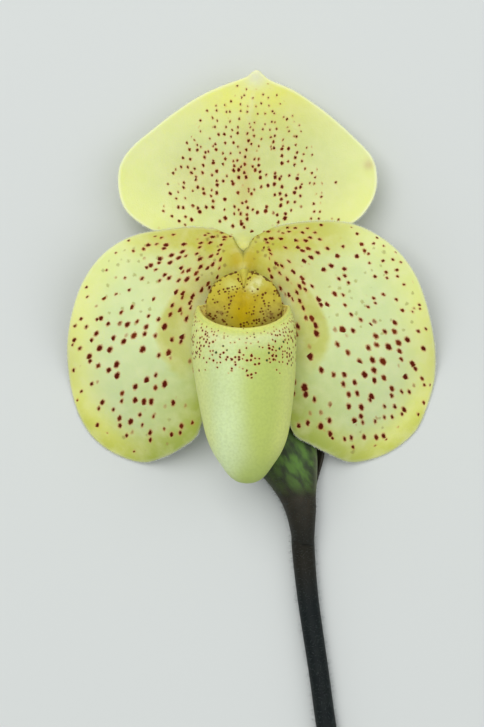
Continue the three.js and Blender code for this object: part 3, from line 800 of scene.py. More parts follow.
def dorsal_tints(x, y, rim):
    """A duller middle with a tan midline, lemon margins, a yellower right shoulder and a pale tip.

    The duller, tan middle is partly painted shade, and the lighter top and flanks are partly painted light.
    """
    midline = dorsal_midline(y)
    across = np.abs(x - midline)
    edge = smooth(1 - rim / 9)
    # flank: painted light, lighter on both flanks of the cup
    flank = patch_at(x, y, (-17, 15), 9, wide=0.9) + 0.8 * patch_at(x, y, (20, 14), 8)
    foot = smooth((7 - y) / 3) * bump_at(x - 0.2, 3.2)
    # top: lighter towards the tip, partly painted light
    top = smooth((y - 22) / 13) * bump_at(across, 15)
    # middle: duller in the middle, partly painted shade
    middle = patch_at(x, y, (midline, 15), 9, wide=1.5)
    shoulder = patch_at(x, y, (9, 28), 8, wide=1.2)
    tip = bump_at(np.hypot(x - 2.6, (y - 37.4) * 1.2), 2.3)
    gilt = smooth((5.4 - y) / 2.6) * bump_at(x - 0.2, 3.2)
    lemon = np.clip(0.14 + 0.34 * edge + 0.68 * top + 0.28 * flank + 0.6 * foot, 0, 1)
    gold = np.clip(0.26 * shoulder + 0.16 * middle + 0.05 + 0.75 * gilt, 0, 1) * (1 - tip)
    # The wide tan along the midline is partly painted shade.
    blush = (0.5 * bump_at(x - midline, 1.7) + 0.18 * bump_at(x - midline, 9)) * bump_at(y - 18, 10)
    blush = blush + 0.3 * patch_at(x, y, (-10, 18), 6) + 0.2 * patch_at(x, y, (16, 15), 6)
    blemish = 0.8 * patch_at(x, y, (25.3, 19.8), 1.0)
    keel = 0.22 * bump_at(x - midline, 0.6) * smooth((y - 25) / 9)
    # Part of this pale tone is the flanks' painted light.
    keel = keel + 0.08 * flank + 0.14 * edge * smooth((y - 17) / 5) * smooth((across - 6) / 6)
    pale = np.maximum(np.maximum(0.85 * tip, keel), 0.5 * smooth(1 - rim / 0.8))
    tones = np.stack([np.clip(blush + blemish, 0, 1), np.zeros_like(x), pale], -1)
    return {"tints": np.stack([lemon, gold, 0.1 * middle], -1), "tones": tones}


def dorsal_paint(x, y, rim):
    """The tints, and spots that grow finer and denser to the tip, with a row up the lower midline."""
    across = np.abs(x - dorsal_midline(y))
    reach, fill_share, size = (np.interp(y, *table) for table in (SPOTTED_WIDTH, DORSAL_FILL, DORSAL_SIZE))
    density = fill_share * smooth((reach - across) / 3.0) * smooth((36.8 - y) / 2.5)
    density = density + 0.4 * bump_at(across - 0.2, 1.5) * smooth((18 - y) / 4) * smooth((y - 5.5) / 1.5)
    density = density + 0.1 * smooth((20.5 - across) / 2) * smooth((20 - y) / 5) * smooth((y - 6) / 2)
    size = size * (1 - 0.25 * smooth((across - 9) / 6))
    marks = spot_marks(np.clip(density, 0, 1), size, np.full_like(x, 1.25))
    return dorsal_tints(x, y, rim) | {"marks": marks, "faint_marks": np.zeros((*x.shape, 3))}


make_blade("dorsal_sepal_blade", "dorsal_sepal", DORSAL, dorsal_height, dorsal_paint)


# %% The synsepal, two lower sepals grown into one blade behind the pouch
def synsepal_paint(x, y, rim):
    """Plain flesh, yellower towards the margin, with a few small round spots."""
    none = np.zeros_like(x)
    return {
        "tints": np.stack([0.3 + 0.4 * smooth(1 - rim / 5), none, none + 0.25], -1),
        "tones": np.zeros((*x.shape, 3)),
        "marks": np.stack([0.35 * smooth((rim - 1) / 3), none + 0.26, none], -1),
        "faint_marks": np.zeros((*x.shape, 3)),
    }


make_blade("synsepal_blade", "synsepal", SYNSEPAL, synsepal_height, synsepal_paint, 40, 120)

# %% [markdown]
# ## Hairs
# Slipper orchids are downy: a short white fringe stands along every margin, and the stalk is furry.
# Blender's hair system could grow them, but its strands don't leave Blender as a mesh. So each hair is
# a real three-sided needle with a bend in its middle, and all needles of one piece are worked out
# together as one array.

# %% A bunch of hairs
SUNK = 0.08  # how deep a hair's foot sits in the skin
HALFWAY, HALFWAY_WIDTH = 0.55, 0.62  # where a hair bends, and the share of its width left there
LOWEST = 0.03  # no hair goes below this height over the floor
HAIR_FACES = np.array([  # corners of the seven points; a doubled corner makes a triangle
    (0, 1, 4, 3), (1, 2, 5, 4), (2, 0, 3, 5), (3, 4, 6, 6), (4, 5, 6, 6), (5, 3, 6, 6), (2, 1, 0, 0),
])


def hair_points(roots, aims, lengths, width, bend, draw):
    """Seven points a hair: a triangle sunk at the root, a thinner one half way, and the tip.

    bend is how far the tip swings aside, as a share of the length. The middle swings by a part of it.
    """
    aims = unit(aims)
    swing = draw.normal(size=roots.shape)
    swing -= aims * (swing * aims).sum(1, keepdims=True)
    swing = unit(swing)
    other = np.cross(aims, swing)
    lengths = lengths[:, None]
    turns = (np.arange(3) * 2 * math.pi / 3)[None, :, None]
    spokes = (swing[:, None] * np.cos(turns) + other[:, None] * np.sin(turns)) * width
    foot = roots - aims * SUNK
    middle = roots + aims * lengths * HALFWAY + swing * lengths * bend * 0.3
    tip = roots + aims * lengths * (1 - 0.4 * bend) + swing * lengths * bend
    rings = [foot[:, None] + spokes, middle[:, None] + spokes * HALFWAY_WIDTH, tip[:, None]]
    points = np.concatenate(rings, axis=1)
    points[..., 2] = np.maximum(points[..., 2], LOWEST)
    return points


def make_hairs(name, material, roots, aims, lengths, width, bend, seed):
    """One piece that holds all the hairs, riding on the part."""
    points = hair_points(roots, aims, lengths, width, bend, np.random.default_rng(seed))
    faces = (np.arange(len(roots))[:, None, None] * 7 + HAIR_FACES[None]).reshape(-1, 4)
    return place(name, make_mesh(name, points, quads=faces), material, "tepal")


def down_material(name, colour, second):
    """Fine plant down of two close tones, with a little light passing through."""
    material, tree = new_material(
        name,
        Roughness=0.45,
        Subsurface_Weight=0.3,
        Subsurface_Radius=(1.0, 1.0, 1.0),
        Subsurface_Scale=0.0002,
        Sheen_Weight=0.1,
    )
    dress(tree, Base_Color=blend(tree, mottle(tree, 900.0, 1.0), colour, second))
    return material


# %% The fringes
FRINGE_WIDTH, FRINGE_BEND = 0.028, 0.35  # a hair's radius at its root, and how far its tip swings aside


def margin_fringe(name, outline, height, ends, spacing, length, seed):
    """White hairs along the margin from share ends[0] to ends[1], leaning outwards."""
    draw = np.random.default_rng(seed)
    v = np.linspace(0, 1, 3000)
    line = curve_through(outline["margin"], v)
    steps = np.concatenate([[0], np.cumsum(np.hypot(*np.diff(line, axis=0).T))])
    low, high = np.interp(ends, v, steps)
    count = int((high - low) / spacing)
    at = np.interp(draw.uniform(low, high, count), steps, v)
    here = curve_through(outline["margin"], at)
    ahead = heading(outline["margin"], at)
    outward = np.stack([-ahead[:, 1], ahead[:, 0]], 1)
    outward *= np.sign((outward * (here - np.mean(outline["margin"], axis=0))).sum())
    spot = here - outward * draw.uniform(0.0, 0.25, count)[:, None]
    z = height(spot[:, 0], spot[:, 1]) + draw.uniform(-0.12, 0.2, count)
    lean = draw.normal(0, 0.35, count)[:, None]
    aims = np.column_stack([outward + ahead * lean, draw.uniform(-0.1, 0.7, count)])
    lengths = length * draw.uniform(0.6, 1.15, count)
    roots = np.column_stack([spot, z])
    return make_hairs(name, petal_down, roots, aims, lengths, FRINGE_WIDTH, FRINGE_BEND, seed)


petal_down = down_material("white_margin_down", "#eef3d8", "#ffffff")
margin_fringe("dorsal_sepal_fringe", DORSAL, dorsal_height, (0.0, 1.0), 0.04, 0.5, 11)
for (word, outline), seed in zip(PETALS.items(), (12, 13)):
    height = partial(petal_height, outline=outline)
    margin_fringe(f"petal_{word}_fringe", outline, height, (0.0, 0.86), 0.045, 0.46, seed)

# %% [markdown]
# ## The pouch
# The lip is a petal blown up into a pouch, like an egg with its top cut slantwise and an inrolled
# rim. It could be a lathed shape, but its front bulges further than its back. So stations along it
# say where its sides, its front and its back lie, and two half ellipses join them.

# %% The pouch surface
LIP_WALL = 0.9  # thickness of the flesh
RIM_LIFT = 0.55  # how far the roll of the rim stands out over the mouth
OUTER_RINGS, ROLL_RINGS, INNER_RINGS = 110, 7, 60
RING_POINTS = 168
DEEPEST_INSIDE = 0.93  # the inside ends at this share of the way to the toe
LIP_STATIONS = [  # side y, z; half width; middle x; front y, z; back y, z
    (-9.3, 14.6, 9.4, 0.1, -14.1, 25.6, -3.2, 10.1),
    (-11.4, 15.9, 10.0, 0.1, -15.5, 27.0, -6.6, 9.6),
    (-14.5, 17.6, 10.4, 0.15, -18.3, 28.3, -11.2, 9.8),
    (-18.5, 19.0, 10.3, 0.2, -21.6, 28.9, -16.0, 10.4),
    (-24.0, 20.0, 9.8, 0.4, -26.0, 29.0, -22.5, 11.5),
    (-29.5, 20.5, 9.0, 0.6, -30.6, 28.5, -28.8, 12.8),
    (-34.2, 20.8, 8.1, 0.75, -34.6, 27.5, -34.0, 14.3),
    (-37.6, 20.8, 6.8, 0.8, -37.8, 26.1, -37.5, 15.7),
    (-40.4, 20.8, 5.0, 0.8, -40.4, 24.6, -40.4, 17.1),
    (-42.5, 20.7, 3.4, 0.8, -42.5, 23.2, -42.5, 18.4),
    (-43.6, 20.7, 1.7, 0.8, -43.6, 21.9, -43.6, 19.5),
    (-43.9, 20.7, 0.0, 0.8, -43.9, 20.7, -43.9, 20.7),
]


def pouch_point(t, angle, inset=0.0, lift=0.0):
    """A point of the pouch: t runs from the rim to the toe, and the angle from its right side forwards.

    Each ring is two half ellipses from the sides, one to the front and one to the back. Near the rim
    the back half is drawn in, which leaves a pointed lobe at each side. inset moves inwards and lift
    moves over the rim.
    """
    line = curve_through(LIP_STATIONS, t)
    side, half, middle = line[..., 0:2], line[..., 2], line[..., 3]
    is_front = np.sin(angle) >= 0
    power = np.where(is_front, 1, 2 / (0.72 + 1.28 * smooth(t * 3)))
    depth = np.where(is_front[..., None], line[..., 4:6], line[..., 6:8]) - side
    shrink = np.maximum(0, 1 - inset / np.maximum(np.linalg.norm(depth, axis=-1), 1e-6))
    across = np.sign(np.cos(angle)) * np.abs(np.cos(angle)) ** power * np.maximum(0, half - inset)
    share = (np.abs(np.sin(angle)) ** power * shrink)[..., None]
    y_and_z = side + depth * share
    return np.stack([middle + across, y_and_z[..., 0] + lift, y_and_z[..., 1] + lift / 2], -1)


def pouch_grid():
    """Rings from the toe up the outside, round the rolled rim and down the inside, closed near the toe.

    Gives the points, their angles, and from 0 to 1 how near the rim and how far inside they are.
    """
    outside = np.linspace(1, 0, OUTER_RINGS)
    roll = np.linspace(0, math.pi, ROLL_RINGS + 2)[1:-1]
    inside = np.linspace(0, DEEPEST_INSIDE, INNER_RINGS)
    over = np.linspace(0, 1, ROLL_RINGS)
    t, inset, lift, rim, inner = np.hstack([
        (outside, 0 * outside, 0 * outside, 1 - smooth(outside * 9), 0 * outside),
        (0 * roll, LIP_WALL / 2 * (1 - np.cos(roll)), RIM_LIFT * np.sin(roll), 0 * roll + 1, over),
        (inside, 0 * inside + LIP_WALL, 0 * inside, 1 - smooth(inside * 5), 0 * inside + 1),
    ])
    around = np.linspace(0, 2 * math.pi, RING_POINTS, endpoint=False)
    t, angle = np.meshgrid(t, around, indexing="ij")
    points = pouch_point(t, angle, inset[:, None], lift[:, None])
    cap = np.broadcast_to(points[-1].mean(0), points[-1:].shape)
    points, angle = np.concatenate([points, cap]), np.concatenate([angle, angle[-1:]])
    rim, inner = (np.append(values, values[-1])[:, None] + 0 * angle for values in (rim, inner))
    return points, angle, rim, inner


# %% Painted values of the pouch
DOT_SPACING = 0.72  # millimetres from dot to dot
POUCH_RADIUS = 9.6  # a rough one, which spreads the dots over the pouch's girth
DOTTED_DEPTH = (  # x, and how far below the rim the dots reach there
    [-9.4, -8, -5.5, -3.3, 0.4, 3, 5.3, 8, 9.6],
    [12, 10.8, 8.6, 9.6, 11, 10.2, 9.7, 11.2, 12],
)
HALF_WIDTH = ([9, 14, 24, 30, 34, 38, 41, 44], [9.4, 10.3, 9.8, 9.0, 8.1, 6.8, 4.6, 0.6])  # at each -y


def pouch_dots(x, y, from_rim, inner, sides):
    """Density and radius of the dots: finest just under the rim, larger below it, denser at the sides."""
    groups = 0.5 + 0.5 * np.sin(1.3 * x + 0.9) * np.sin(1.1 * y + 0.5 * x)
    density = (0.43 + 0.21 * sides) * (0.7 + 0.6 * groups) * smooth(from_rim / 0.8)
    density = density * smooth((np.interp(x, *DOTTED_DEPTH) - from_rim) / 3.2) * (1 - inner)
    density = density + 0.5 * inner * smooth((7 - from_rim) / 3)
    density = np.maximum(density, 0.03 * smooth((13 - from_rim) / 2) * smooth(from_rim) * (1 - inner))
    return density, 0.115 + 0.11 * smooth((from_rim - 2.4 + 2.0 * sides) / 2.6)


def pouch_paint(x, y, angle, rim, inner):
    """Tints, light and dots of the pouch.

    from_rim is how far below the arc of the rim a point lies. The flesh is palest under the rim. A
    painted highlight runs as a streak left of the middle, the right side is greener, partly flesh and
    partly painted shade, the toe is darker with painted shade, and the flanks are lighter and yellower
    with painted light.
    """
    from_rim = -9.5 - 4.4 * np.sqrt(np.clip(1 - ((x - 0.1) / 9.4) ** 2, 0, 1)) - y
    across = np.abs(x - 0.2)
    sides = smooth((across - 2.5) / 4.0)
    density, size = pouch_dots(x, y, from_rim, inner, sides)
    pale = smooth(from_rim / 1.5) * smooth((6.5 - from_rim) / 4.5)
    # A painted highlight: a soft pale streak left of the middle, strongest low down.
    painted_highlight = bump_at(x + 3.4 - 0.12 * (y + 30), 3.2) * smooth((-13 - y) / 8) * smooth((y + 44) / 4)
    painted_highlight = painted_highlight * (0.5 + 0.5 * smooth((-25 - y) / 9))
    # The right side is greener, partly the flesh's own colour and partly painted shade.
    greener_shaded_right = smooth((x + 3.9 + 0.15 * (y + 24)) / 5.6) * smooth(from_rim / 5)
    # Painted shade at the toe.
    toe = smooth((-37 - y) / 6) * smooth((x + 4) / 5)
    # Painted light, lighter and yellower on the pouch's sides.
    flank = smooth((across / np.interp(-y, *HALF_WIDTH) - 0.55) / 0.4) * (1 - inner) * smooth((y + 41) / 7)
    greenish = smooth((2.8 - from_rim) / 2) * (1 - sides)
    girth = (angle - math.pi / 2) * POUCH_RADIUS
    return {
        "tints": np.stack([rim, inner, pale * (1 - 0.85 * greener_shaded_right)], -1),
        "tones": np.stack([painted_highlight, greener_shaded_right, toe], -1),
        "marks": np.stack([density, size, greenish], -1),
        "flank": flank,
        "fan": np.stack([y / DOT_SPACING, girth / DOT_SPACING, np.full_like(y, DOT_SPACING)], -1),
    }


# %% The pouch and its skin
def pouch_skin():
    """Smooth waxy flesh, paler and greener than the petals, peppered with fine dots under the rim."""
    material, tree = new_material(
        "waxy_pouch_flesh",
        Roughness=0.42,
        IOR=1.42,
        Specular_IOR_Level=0.12,
        Subsurface_Radius=(1.0, 0.95, 0.4),
        Subsurface_Scale=0.0010,
    )
    rim, inner, pale = painted(tree, "tints")
    painted_highlight, greener_shaded_right, toe = painted(tree, "tones")
    density, size, greenish = painted(tree, "marks")
    pattern = node(tree, "Attribute", attribute_name="fan").outputs["Vector"]
    flank = node(tree, "Attribute", attribute_name="flank").outputs["Fac"]
    # The right side and the toe are darker with painted shade, and the pale streak left of the middle is a
    # painted highlight.
    flesh = blend(tree, greener_shaded_right, "#c8d697", "#bbc96d")
    flesh = glaze(tree, flesh, (toe, "#adbd68"), (pale, "#d9e0a3"), (painted_highlight, "#d8e8b1"))
    # The pale yellow on the sides is painted light, and the gold of the inside is partly painted light:
    # lighter than the real inside, against the shade in the cavity.
    flesh = glaze(tree, flesh, (flank, "#dfe58a", 0.6), (rim, "#d9e07e"), (inner, "#d0bb5c"))
    fine_green = patches(tree, 1900.0, 3.0, 0.4, 0.65, 0.16)
    dots, halo, draw = spot_layer(tree, pattern, density, size, 0.0, 0.3, 0.2)
    rare = node(tree, "Math", {0: draw, 1: 0.93}, operation="GREATER_THAN")
    green = node(tree, "Math", {0: rare, 1: greenish}, operation="MAXIMUM")
    core = node(tree, "MapRange", {"Value": dots, "From Min": 0.3, "From Max": 0.95})
    brown = blend(tree, core, "#b87824", "#5c1800")
    dot_tone = blend(tree, green, brown, "#3a5226")
    colour = glaze(tree, flesh, (fine_green, "#8fa05a"), (halo, BLEEDING, 0.34), (dots, dot_tone))
    glow = node(tree, "MapRange", {"Value": dots, "To Min": 0.4, "To Max": 0.0})
    wax = grain(tree, 2600.0, 3.0, 0.00008, 0.4)
    dress(tree, Base_Color=colour, Subsurface_Weight=glow, Normal=wax)
    return material


points, angle, rim, inner = pouch_grid()
paint = pouch_paint(points[..., 0], points[..., 1], angle, rim, inner)
place("lip_pouch", make_mesh("pouch", points, paint, wrap_columns=True), pouch_skin(), "pouch", "lip")

# %% [markdown]
# ## The shield
# The golden shield, the staminode, lies over the mouth of the pouch. It is notched at its top and
# carries two pale bosses and rows of brown dots. A flat outline could be filled and thickened by a
# modifier, but rings that shrink from the margin to the middle let the bosses swell out of its face.

# %% The shield's surface
SHIELD_CENTRE = (0.2, -8.1)
SHIELD_HEIGHT = 17.2  # of its middle over the floor
SHIELD_RINGS, SHIELD_POINTS = 44, 260
SHIELD_OUTLINE = [
    (0.15, -5.4), (-0.8, -2.2), (-2.6, -2.4), (-4.8, -3.6), (-6.6, -5.8), (-7.3, -9.0),
    (-6.7, -12.2), (-4.0, -14.2), (0.2, -14.8), (4.5, -14.2), (7.2, -12.2), (7.8, -9.0),
    (7.0, -5.9), (5.2, -3.7), (3.1, -2.4), (1.2, -2.1), (0.15, -5.4),
]
BOSSES = [(-2.3, -4.7), (2.5, -4.6)]


def shield_point(share, v, side):
    """A point of the shield: share runs from its middle to its margin, v round the margin.

    The face is a shallow dome with the bosses added and a groove taken away. side is 1 for the front
    and -1 for the back, which lie half a thickness either side and meet at the margin.
    """
    rim = curve_through(SHIELD_OUTLINE, v)
    x, y = (SHIELD_CENTRE[i] + (rim[..., i] - SHIELD_CENTRE[i]) * share for i in (0, 1))
    boss = sum(0.7 * patch_at(x, y, centre, 1.7) for centre in BOSSES)
    middle = SHIELD_HEIGHT - 1.3 * np.hypot((x - 0.2) / 7.3, (y + 8.1) / 6.3) ** 2
    groove = 0.3 * bump_at(x - 0.15, 0.6) * smooth((-5.0 - y) / 2) * smooth((y + 13) / 4)
    half = 0.55 * np.sqrt(np.maximum(0, 1 - share**8)) * (1 - 0.3 * share**2)
    top = np.where(side > 0, boss * (1 - share**4) - groove, 0)
    return np.stack([x, y, middle + side * half + top], -1)


# %% Painted values of the shield
def shield_paint(x, y, share):
    """A deep gold middle, a pale left and right boss, painted shade low on the sides, and dots in groups,
    along the notch and the foot.
    """
    left = patch_at(x, y, (-2.4, -4.7), 1.3, wide=1.1)
    right = bump_at(np.hypot(x - 2.6 - 0.6 * (y + 4.7), (y + 4.7) / 1.2), 1.35)
    gold = bump_at((x - 0.1) / (1 + 0.12 * (y + 14)), 2.3) * smooth((-4.4 - y) / 2)
    # Less gold at the foot is painted light against the shade of the pouch's rim.
    gold = gold * (1 - 0.3 * smooth((-10.8 - y) / 2))
    foot = bump_at(y + 12.7 - 0.045 * x**2, 0.8)
    # low: painted shade, a duller olive on the lower sides where they sink into the pouch's mouth
    low = smooth((-9 - y + 0.25 * np.abs(x)) / 3.5) * smooth((np.abs(x - 0.1) - 1.6) / 3.5)
    arch = smooth((y + 9.2) / 3) * smooth((share - 0.86) / 0.11) * smooth((np.abs(x - 0.15) - 0.9) / 0.5)
    notch = bump_at(np.abs(x - 0.15) - 0.45 - 0.33 * (y + 5.4), 0.4) * smooth((y + 6.6) / 0.8)
    groups = patch_at(x, y, (-2.9, -6.6), 1.7, tall=1.2) + patch_at(x, y, (4.0, -7.0), 1.9, tall=1.4)
    density = np.clip(0.34 + 0.22 * groups, 0, 0.8) * (1 - 0.8 * bump_at(x - 0.1, 1.2)) * (1 - 0.6 * right)
    density = np.maximum(density * (1 - 0.55 * smooth((y + 6.2) / 2)), 0.95 * notch)
    density = np.maximum(density, 0.85 * foot)
    size = 0.17 + 0.05 * groups + 0.05 * notch + 0.06 * foot
    none = np.zeros_like(x)
    return {
        "tints": np.stack([gold, np.clip(left * 0.8, 0, 1), np.clip(right, 0, 1)], -1),
        "tones": np.stack([low, arch, none], -1),
        "marks": np.stack([density, size, none], -1),
        "fan": np.stack([(x + 0.3 * y) / 0.66, (y - 0.3 * x) / 0.66, np.full_like(x, 0.63)], -1),
    }


def make_shield():
    """The shield in rings from its middle, over the front, round the margin and in over the back."""
    v = np.linspace(0, 1, SHIELD_POINTS, endpoint=False)
    share = np.sin(np.linspace(0, math.pi / 2, SHIELD_RINGS))
    share, v = np.meshgrid(share, v, indexing="ij")
    front, back = (shield_point(share, v, side * np.ones_like(share)) for side in (1, -1))
    points = np.concatenate([front, back[::-1]])
    paint = shield_paint(points[..., 0], points[..., 1], both_sides(share))
    return make_mesh("shield", points, paint, wrap_columns=True)


# %% The shield's skin
def shield_skin():
    """Golden-olive flesh with paler bosses, brown freckles and a dark dotted upper edge, and painted shade
    on its lower sides.
    """
    material, tree = new_material("golden_shield_flesh", Roughness=0.4, IOR=1.42, Specular_IOR_Level=0.14)
    gold, left, right = painted(tree, "tints")
    low, upper, _ = painted(tree, "tones")
    density, size, _ = painted(tree, "marks")
    pattern = node(tree, "Attribute", attribute_name="fan").outputs["Vector"]
    # The olive laid low on the sides is painted shade.
    flesh = glaze(tree, blend(tree, gold, "#c2b440", "#bda200"), (low, "#b3a248"))
    flesh = glaze(tree, flesh, (left, "#cdcb6c"), (right, "#c8c468"))
    flecks = node(tree, "Math", {0: patches(tree, 800.0, 3.0, 0.4, 0.55), 1: right}, operation="MULTIPLY")
    blotches = node(tree, "Math", {0: patches(tree, 760.0, 1.0, 0.56, 0.68), 1: low}, operation="MULTIPLY")
    clouds = patches(tree, 620.0, 4.0, 0.5, 0.75, 0.5)
    flesh = glaze(tree, flesh, (flecks, "#dfdc98"), (clouds, "#957f22"), (blotches, "#7c5a2e"))
    dots, _, _ = spot_layer(tree, pattern, density, size, 0.0, 0.45, 0.35)
    broken = patches(tree, 1250.0, 1.0, 0.42, 0.66, 0.6)
    reached = node(tree, "Math", {0: upper, 1: broken}, operation="ADD")
    line = node(tree, "MapRange", {"Value": reached, "From Min": 0.96, "From Max": 1.2, "To Max": 0.9})
    colour = glaze(tree, flesh, (dots, "#65360a"), (line, "#5a3410"))
    dress(tree, Base_Color=colour, Normal=grain(tree, 3000.0, 2.0, 0.0001, 0.5))
    return material


place("staminode_shield", make_shield(), shield_skin(), "shield", "staminode")

# %% [markdown]
# ## Column and pollen
# The column bends forward beneath the shield, with a sticky ball of pollen on each side. A curve with
# a bevel would make a round tube. This one needs a swelling too, so its rings are worked out along
# the path, and the ovary and the stalk below use the same function.

# %% Tubes
def tube_point(path, radii, t, angle, swell=None):
    """A point of a round tube: t runs along the path, the angle round it, and the radii follow t.

    The angle starts at the side of larger X. swell(angle, t) adds to the radius.
    """
    centre = curve_through(path, t, weighted=True)
    ahead = heading(path, t, 1e-4, weighted=True)
    side = unit(np.array([1.0, 0.0, 0.0]) - ahead * ahead[..., :1])
    up = np.cross(side, ahead)
    radius = curve_through(radii, t) + (swell(angle, t)[..., None] if swell else 0)
    return centre + (side * np.cos(angle)[..., None] + up * np.sin(angle)[..., None]) * radius


def tube_mesh(name, path, radii, rings, sides, swell=None):
    """A closed tube with flat ends. A ring near the edge of each end keeps the shading there tight."""
    t_line = np.concatenate([[0, 0], np.linspace(0, 1, rings), [1, 1]])
    shrink = np.concatenate([[0, 0.9], np.ones(rings), [0.9, 0]])
    t, angle = np.meshgrid(t_line, np.linspace(0, 2 * math.pi, sides, endpoint=False), indexing="ij")
    middle = curve_through(path, t, weighted=True)
    points = middle + (tube_point(path, radii, t, angle, swell) - middle) * shrink[:, None, None]
    return make_mesh(name, points, {"along": t}, wrap_columns=True)


def ball_mesh(name, centre, half, rings=24, sides=36, rough=0.0, seed=1):
    """An ellipsoid whose surface swells and sinks by a few seeded waves."""
    polar = np.linspace(0, math.pi, rings)
    polar, around = np.meshgrid(polar, np.linspace(0, 2 * math.pi, sides, endpoint=False), indexing="ij")
    ball = np.stack([np.cos(polar), np.sin(polar) * np.cos(around), np.sin(polar) * np.sin(around)], -1)
    draw = np.random.default_rng(seed)
    waves = sum(np.sin(ball @ draw.normal(0, 5, 3) + draw.uniform(0, 6)) for _ in range(6)) / 6
    points = np.array(centre) + ball * np.array(half) * (1 + rough * waves[..., None])
    return make_mesh(name, points, wrap_columns=True)


# %% Column and pollen
COLUMN_PATH = [
    (0.1, 0.2, 8.0), (0.1, 0.2, 9.2), (0.1, -0.2, 11.0),
    (0.1, -1.8, 13.2), (0.1, -4.3, 15.2), (0.1, -6.0, 16.0),
]
COLUMN_RADII = [2.0, 1.7, 1.2, 1.05, 1.35, 1.1]
POLLEN_SIZE = (1.0, 1.5, 1.1)


def column_swell(angle, t):
    """A low keel along the side that faces the dorsal sepal, at three quarters of a turn."""
    back = np.angle(np.exp(1j * (angle + math.pi / 2)))
    return 0.15 * bump_at(back, 0.6) * smooth((t - 0.5) * 6) * smooth((1 - t) * 6)


def plain_flesh(name, colour, second, patch_size, roughness, subsurface=0.2):
    """Flesh of two mottled colours, in patches of that many millimetres, with a fine grain."""
    material, tree = new_material(
        name,
        Roughness=roughness,
        Subsurface_Weight=subsurface,
        Subsurface_Radius=(1.0, 0.8, 0.3),
        Subsurface_Scale=0.0008,
        Specular_IOR_Level=0.2,
    )
    colour = blend(tree, patches(tree, 1000 / patch_size, 3.0, 0.38, 0.64), colour, second)
    dress(tree, Base_Color=colour, Normal=grain(tree, 3600.0, 2.0, 0.0001, 0.5))
    return material


column_flesh = plain_flesh("golden_column_flesh", "#cbc456", "#bfae3c", 1.6, 0.5)
pollen_wax = plain_flesh("sticky_pollen", "#d8b93a", "#e4cf6a", 0.5, 0.3)
mesh = tube_mesh("column", COLUMN_PATH, COLUMN_RADII, 70, 72, column_swell)
place("column_stalk", mesh, column_flesh, "column", "column")
for word, side in (("left", -1), ("right", 1)):
    centre = (side * 3.7 + 0.1, -4.9, 13.6)
    mesh = ball_mesh(f"pollen_{word}", centre, POLLEN_SIZE, rough=0.05, seed=5 + side)
    place(f"anther_{word}_pollen", mesh, pollen_wax, "pollen", f"anther_{word}")

# %% [markdown]
# ## Ovary and stalk
# Behind the flower the ribbed ovary runs down to the stalk, which is nearly black and as furry as a
# moth. Both are tubes along a path of listed points. The fur could be a sheen on the surface
# alone, but real needles also soften the outline.

# %% Ovary and stalk
OVARY_PATH = [
    (12.1, -54.3, 3.5), (11.7, -50, 3.6), (9.6, -44, 3.7), (6.6, -31, 4.0), (3.6, -17, 4.1),
    (1.2, -7, 4.2), (0.4, -3.2, 4.4), (0.15, -0.7, 5.4), (0.1, 0.2, 6.8), (0.1, 0.2, 7.7),
]
OVARY_RADII = [1.4, 1.8, 2.3, 2.7, 2.8, 2.75, 2.7, 2.65, 2.55, 2.5]
SCAPE_PATH = [
    (20.5, -118, 2.1), (19.1, -107, 2.1), (16.95, -94, 2.15), (15.5, -83.5, 2.2),
    (13.2, -67.7, 2.35), (12.35, -59, 2.6), (12.15, -55.5, 3.05), (11.9, -51.5, 3.5),
]
SCAPE_RADII = [2.0, 2.0, 2.05, 2.05, 2.15, 2.3, 2.3, 1.8]
FUR_WIDTH, FUR_BEND = 0.013, 0.3  # as for the fringes


def ribs(angle, t):
    """Six low ribs along the ovary."""
    return 0.18 * np.cos(6 * angle)


def tube_fur(name, path, radii, ends, count, length, seed, swell=None):
    """Hairs all over a tube between two shares of its length, leaning a little towards the flower."""
    draw = np.random.default_rng(seed)
    shares = np.linspace(*ends, 400)
    steps = np.linalg.norm(np.diff(curve_through(path, shares, weighted=True), axis=0), axis=1)
    walked = np.concatenate([[0], np.cumsum(steps)])
    t = np.interp(draw.uniform(0, walked[-1], count), walked, shares)
    angle = draw.uniform(0, 2 * math.pi, count)
    roots = tube_point(path, radii, t, angle, swell)
    outward = unit(roots - curve_through(path, t, weighted=True))
    lean = heading(path, t, weighted=True) * draw.normal(0.1, 0.3, count)[:, None]
    aims = outward + lean + draw.normal(0, 0.2, (count, 3))
    lengths = length * draw.uniform(0.45, 1.2, count)
    return make_hairs(name, stalk_down, roots, aims, lengths, FUR_WIDTH, FUR_BEND, seed)


def stalk_skin(name, colour, second, flesh, flesh_from):
    """Dark downy skin of two mottled colours, turning to a third one from a share of its length on."""
    material = plain_flesh(name, colour, second, 2.2, 0.55, 0.08)
    tree = material.node_tree
    dark = tree.nodes["Principled BSDF"].inputs["Base Color"].links[0].from_socket
    along = node(tree, "Attribute", attribute_name="along").outputs["Fac"]
    near = node(tree, "MapRange", {"Value": along, "From Min": flesh_from, "From Max": flesh_from + 0.12})
    dress(tree, Base_Color=blend(tree, near, dark, flesh))
    return material


stalk_down = down_material("grey_stalk_down", "#15201f", "#313d3b")
ovary_skin = stalk_skin("downy_ovary_skin", "#575a34", "#43323a", "#c6c46a", 0.72)
scape_skin = stalk_skin("downy_stalk_skin", "#060f10", "#101817", "#1c1a11", 0.55)
mesh = tube_mesh("ovary", OVARY_PATH, OVARY_RADII, 120, 60, ribs)
place("ovary_skin", mesh, ovary_skin, "ovary", "ovary")
mesh = tube_mesh("scape", SCAPE_PATH, SCAPE_RADII, 140, 48)
place("scape_skin", mesh, scape_skin, "scape", "scape")
tube_fur("scape_down", SCAPE_PATH, SCAPE_RADII, (0.0, 0.93), 3000, 1.2, 21)
tube_fur("ovary_down", OVARY_PATH, OVARY_RADII, (0.12, 0.7), 1800, 0.6, 22, ribs)

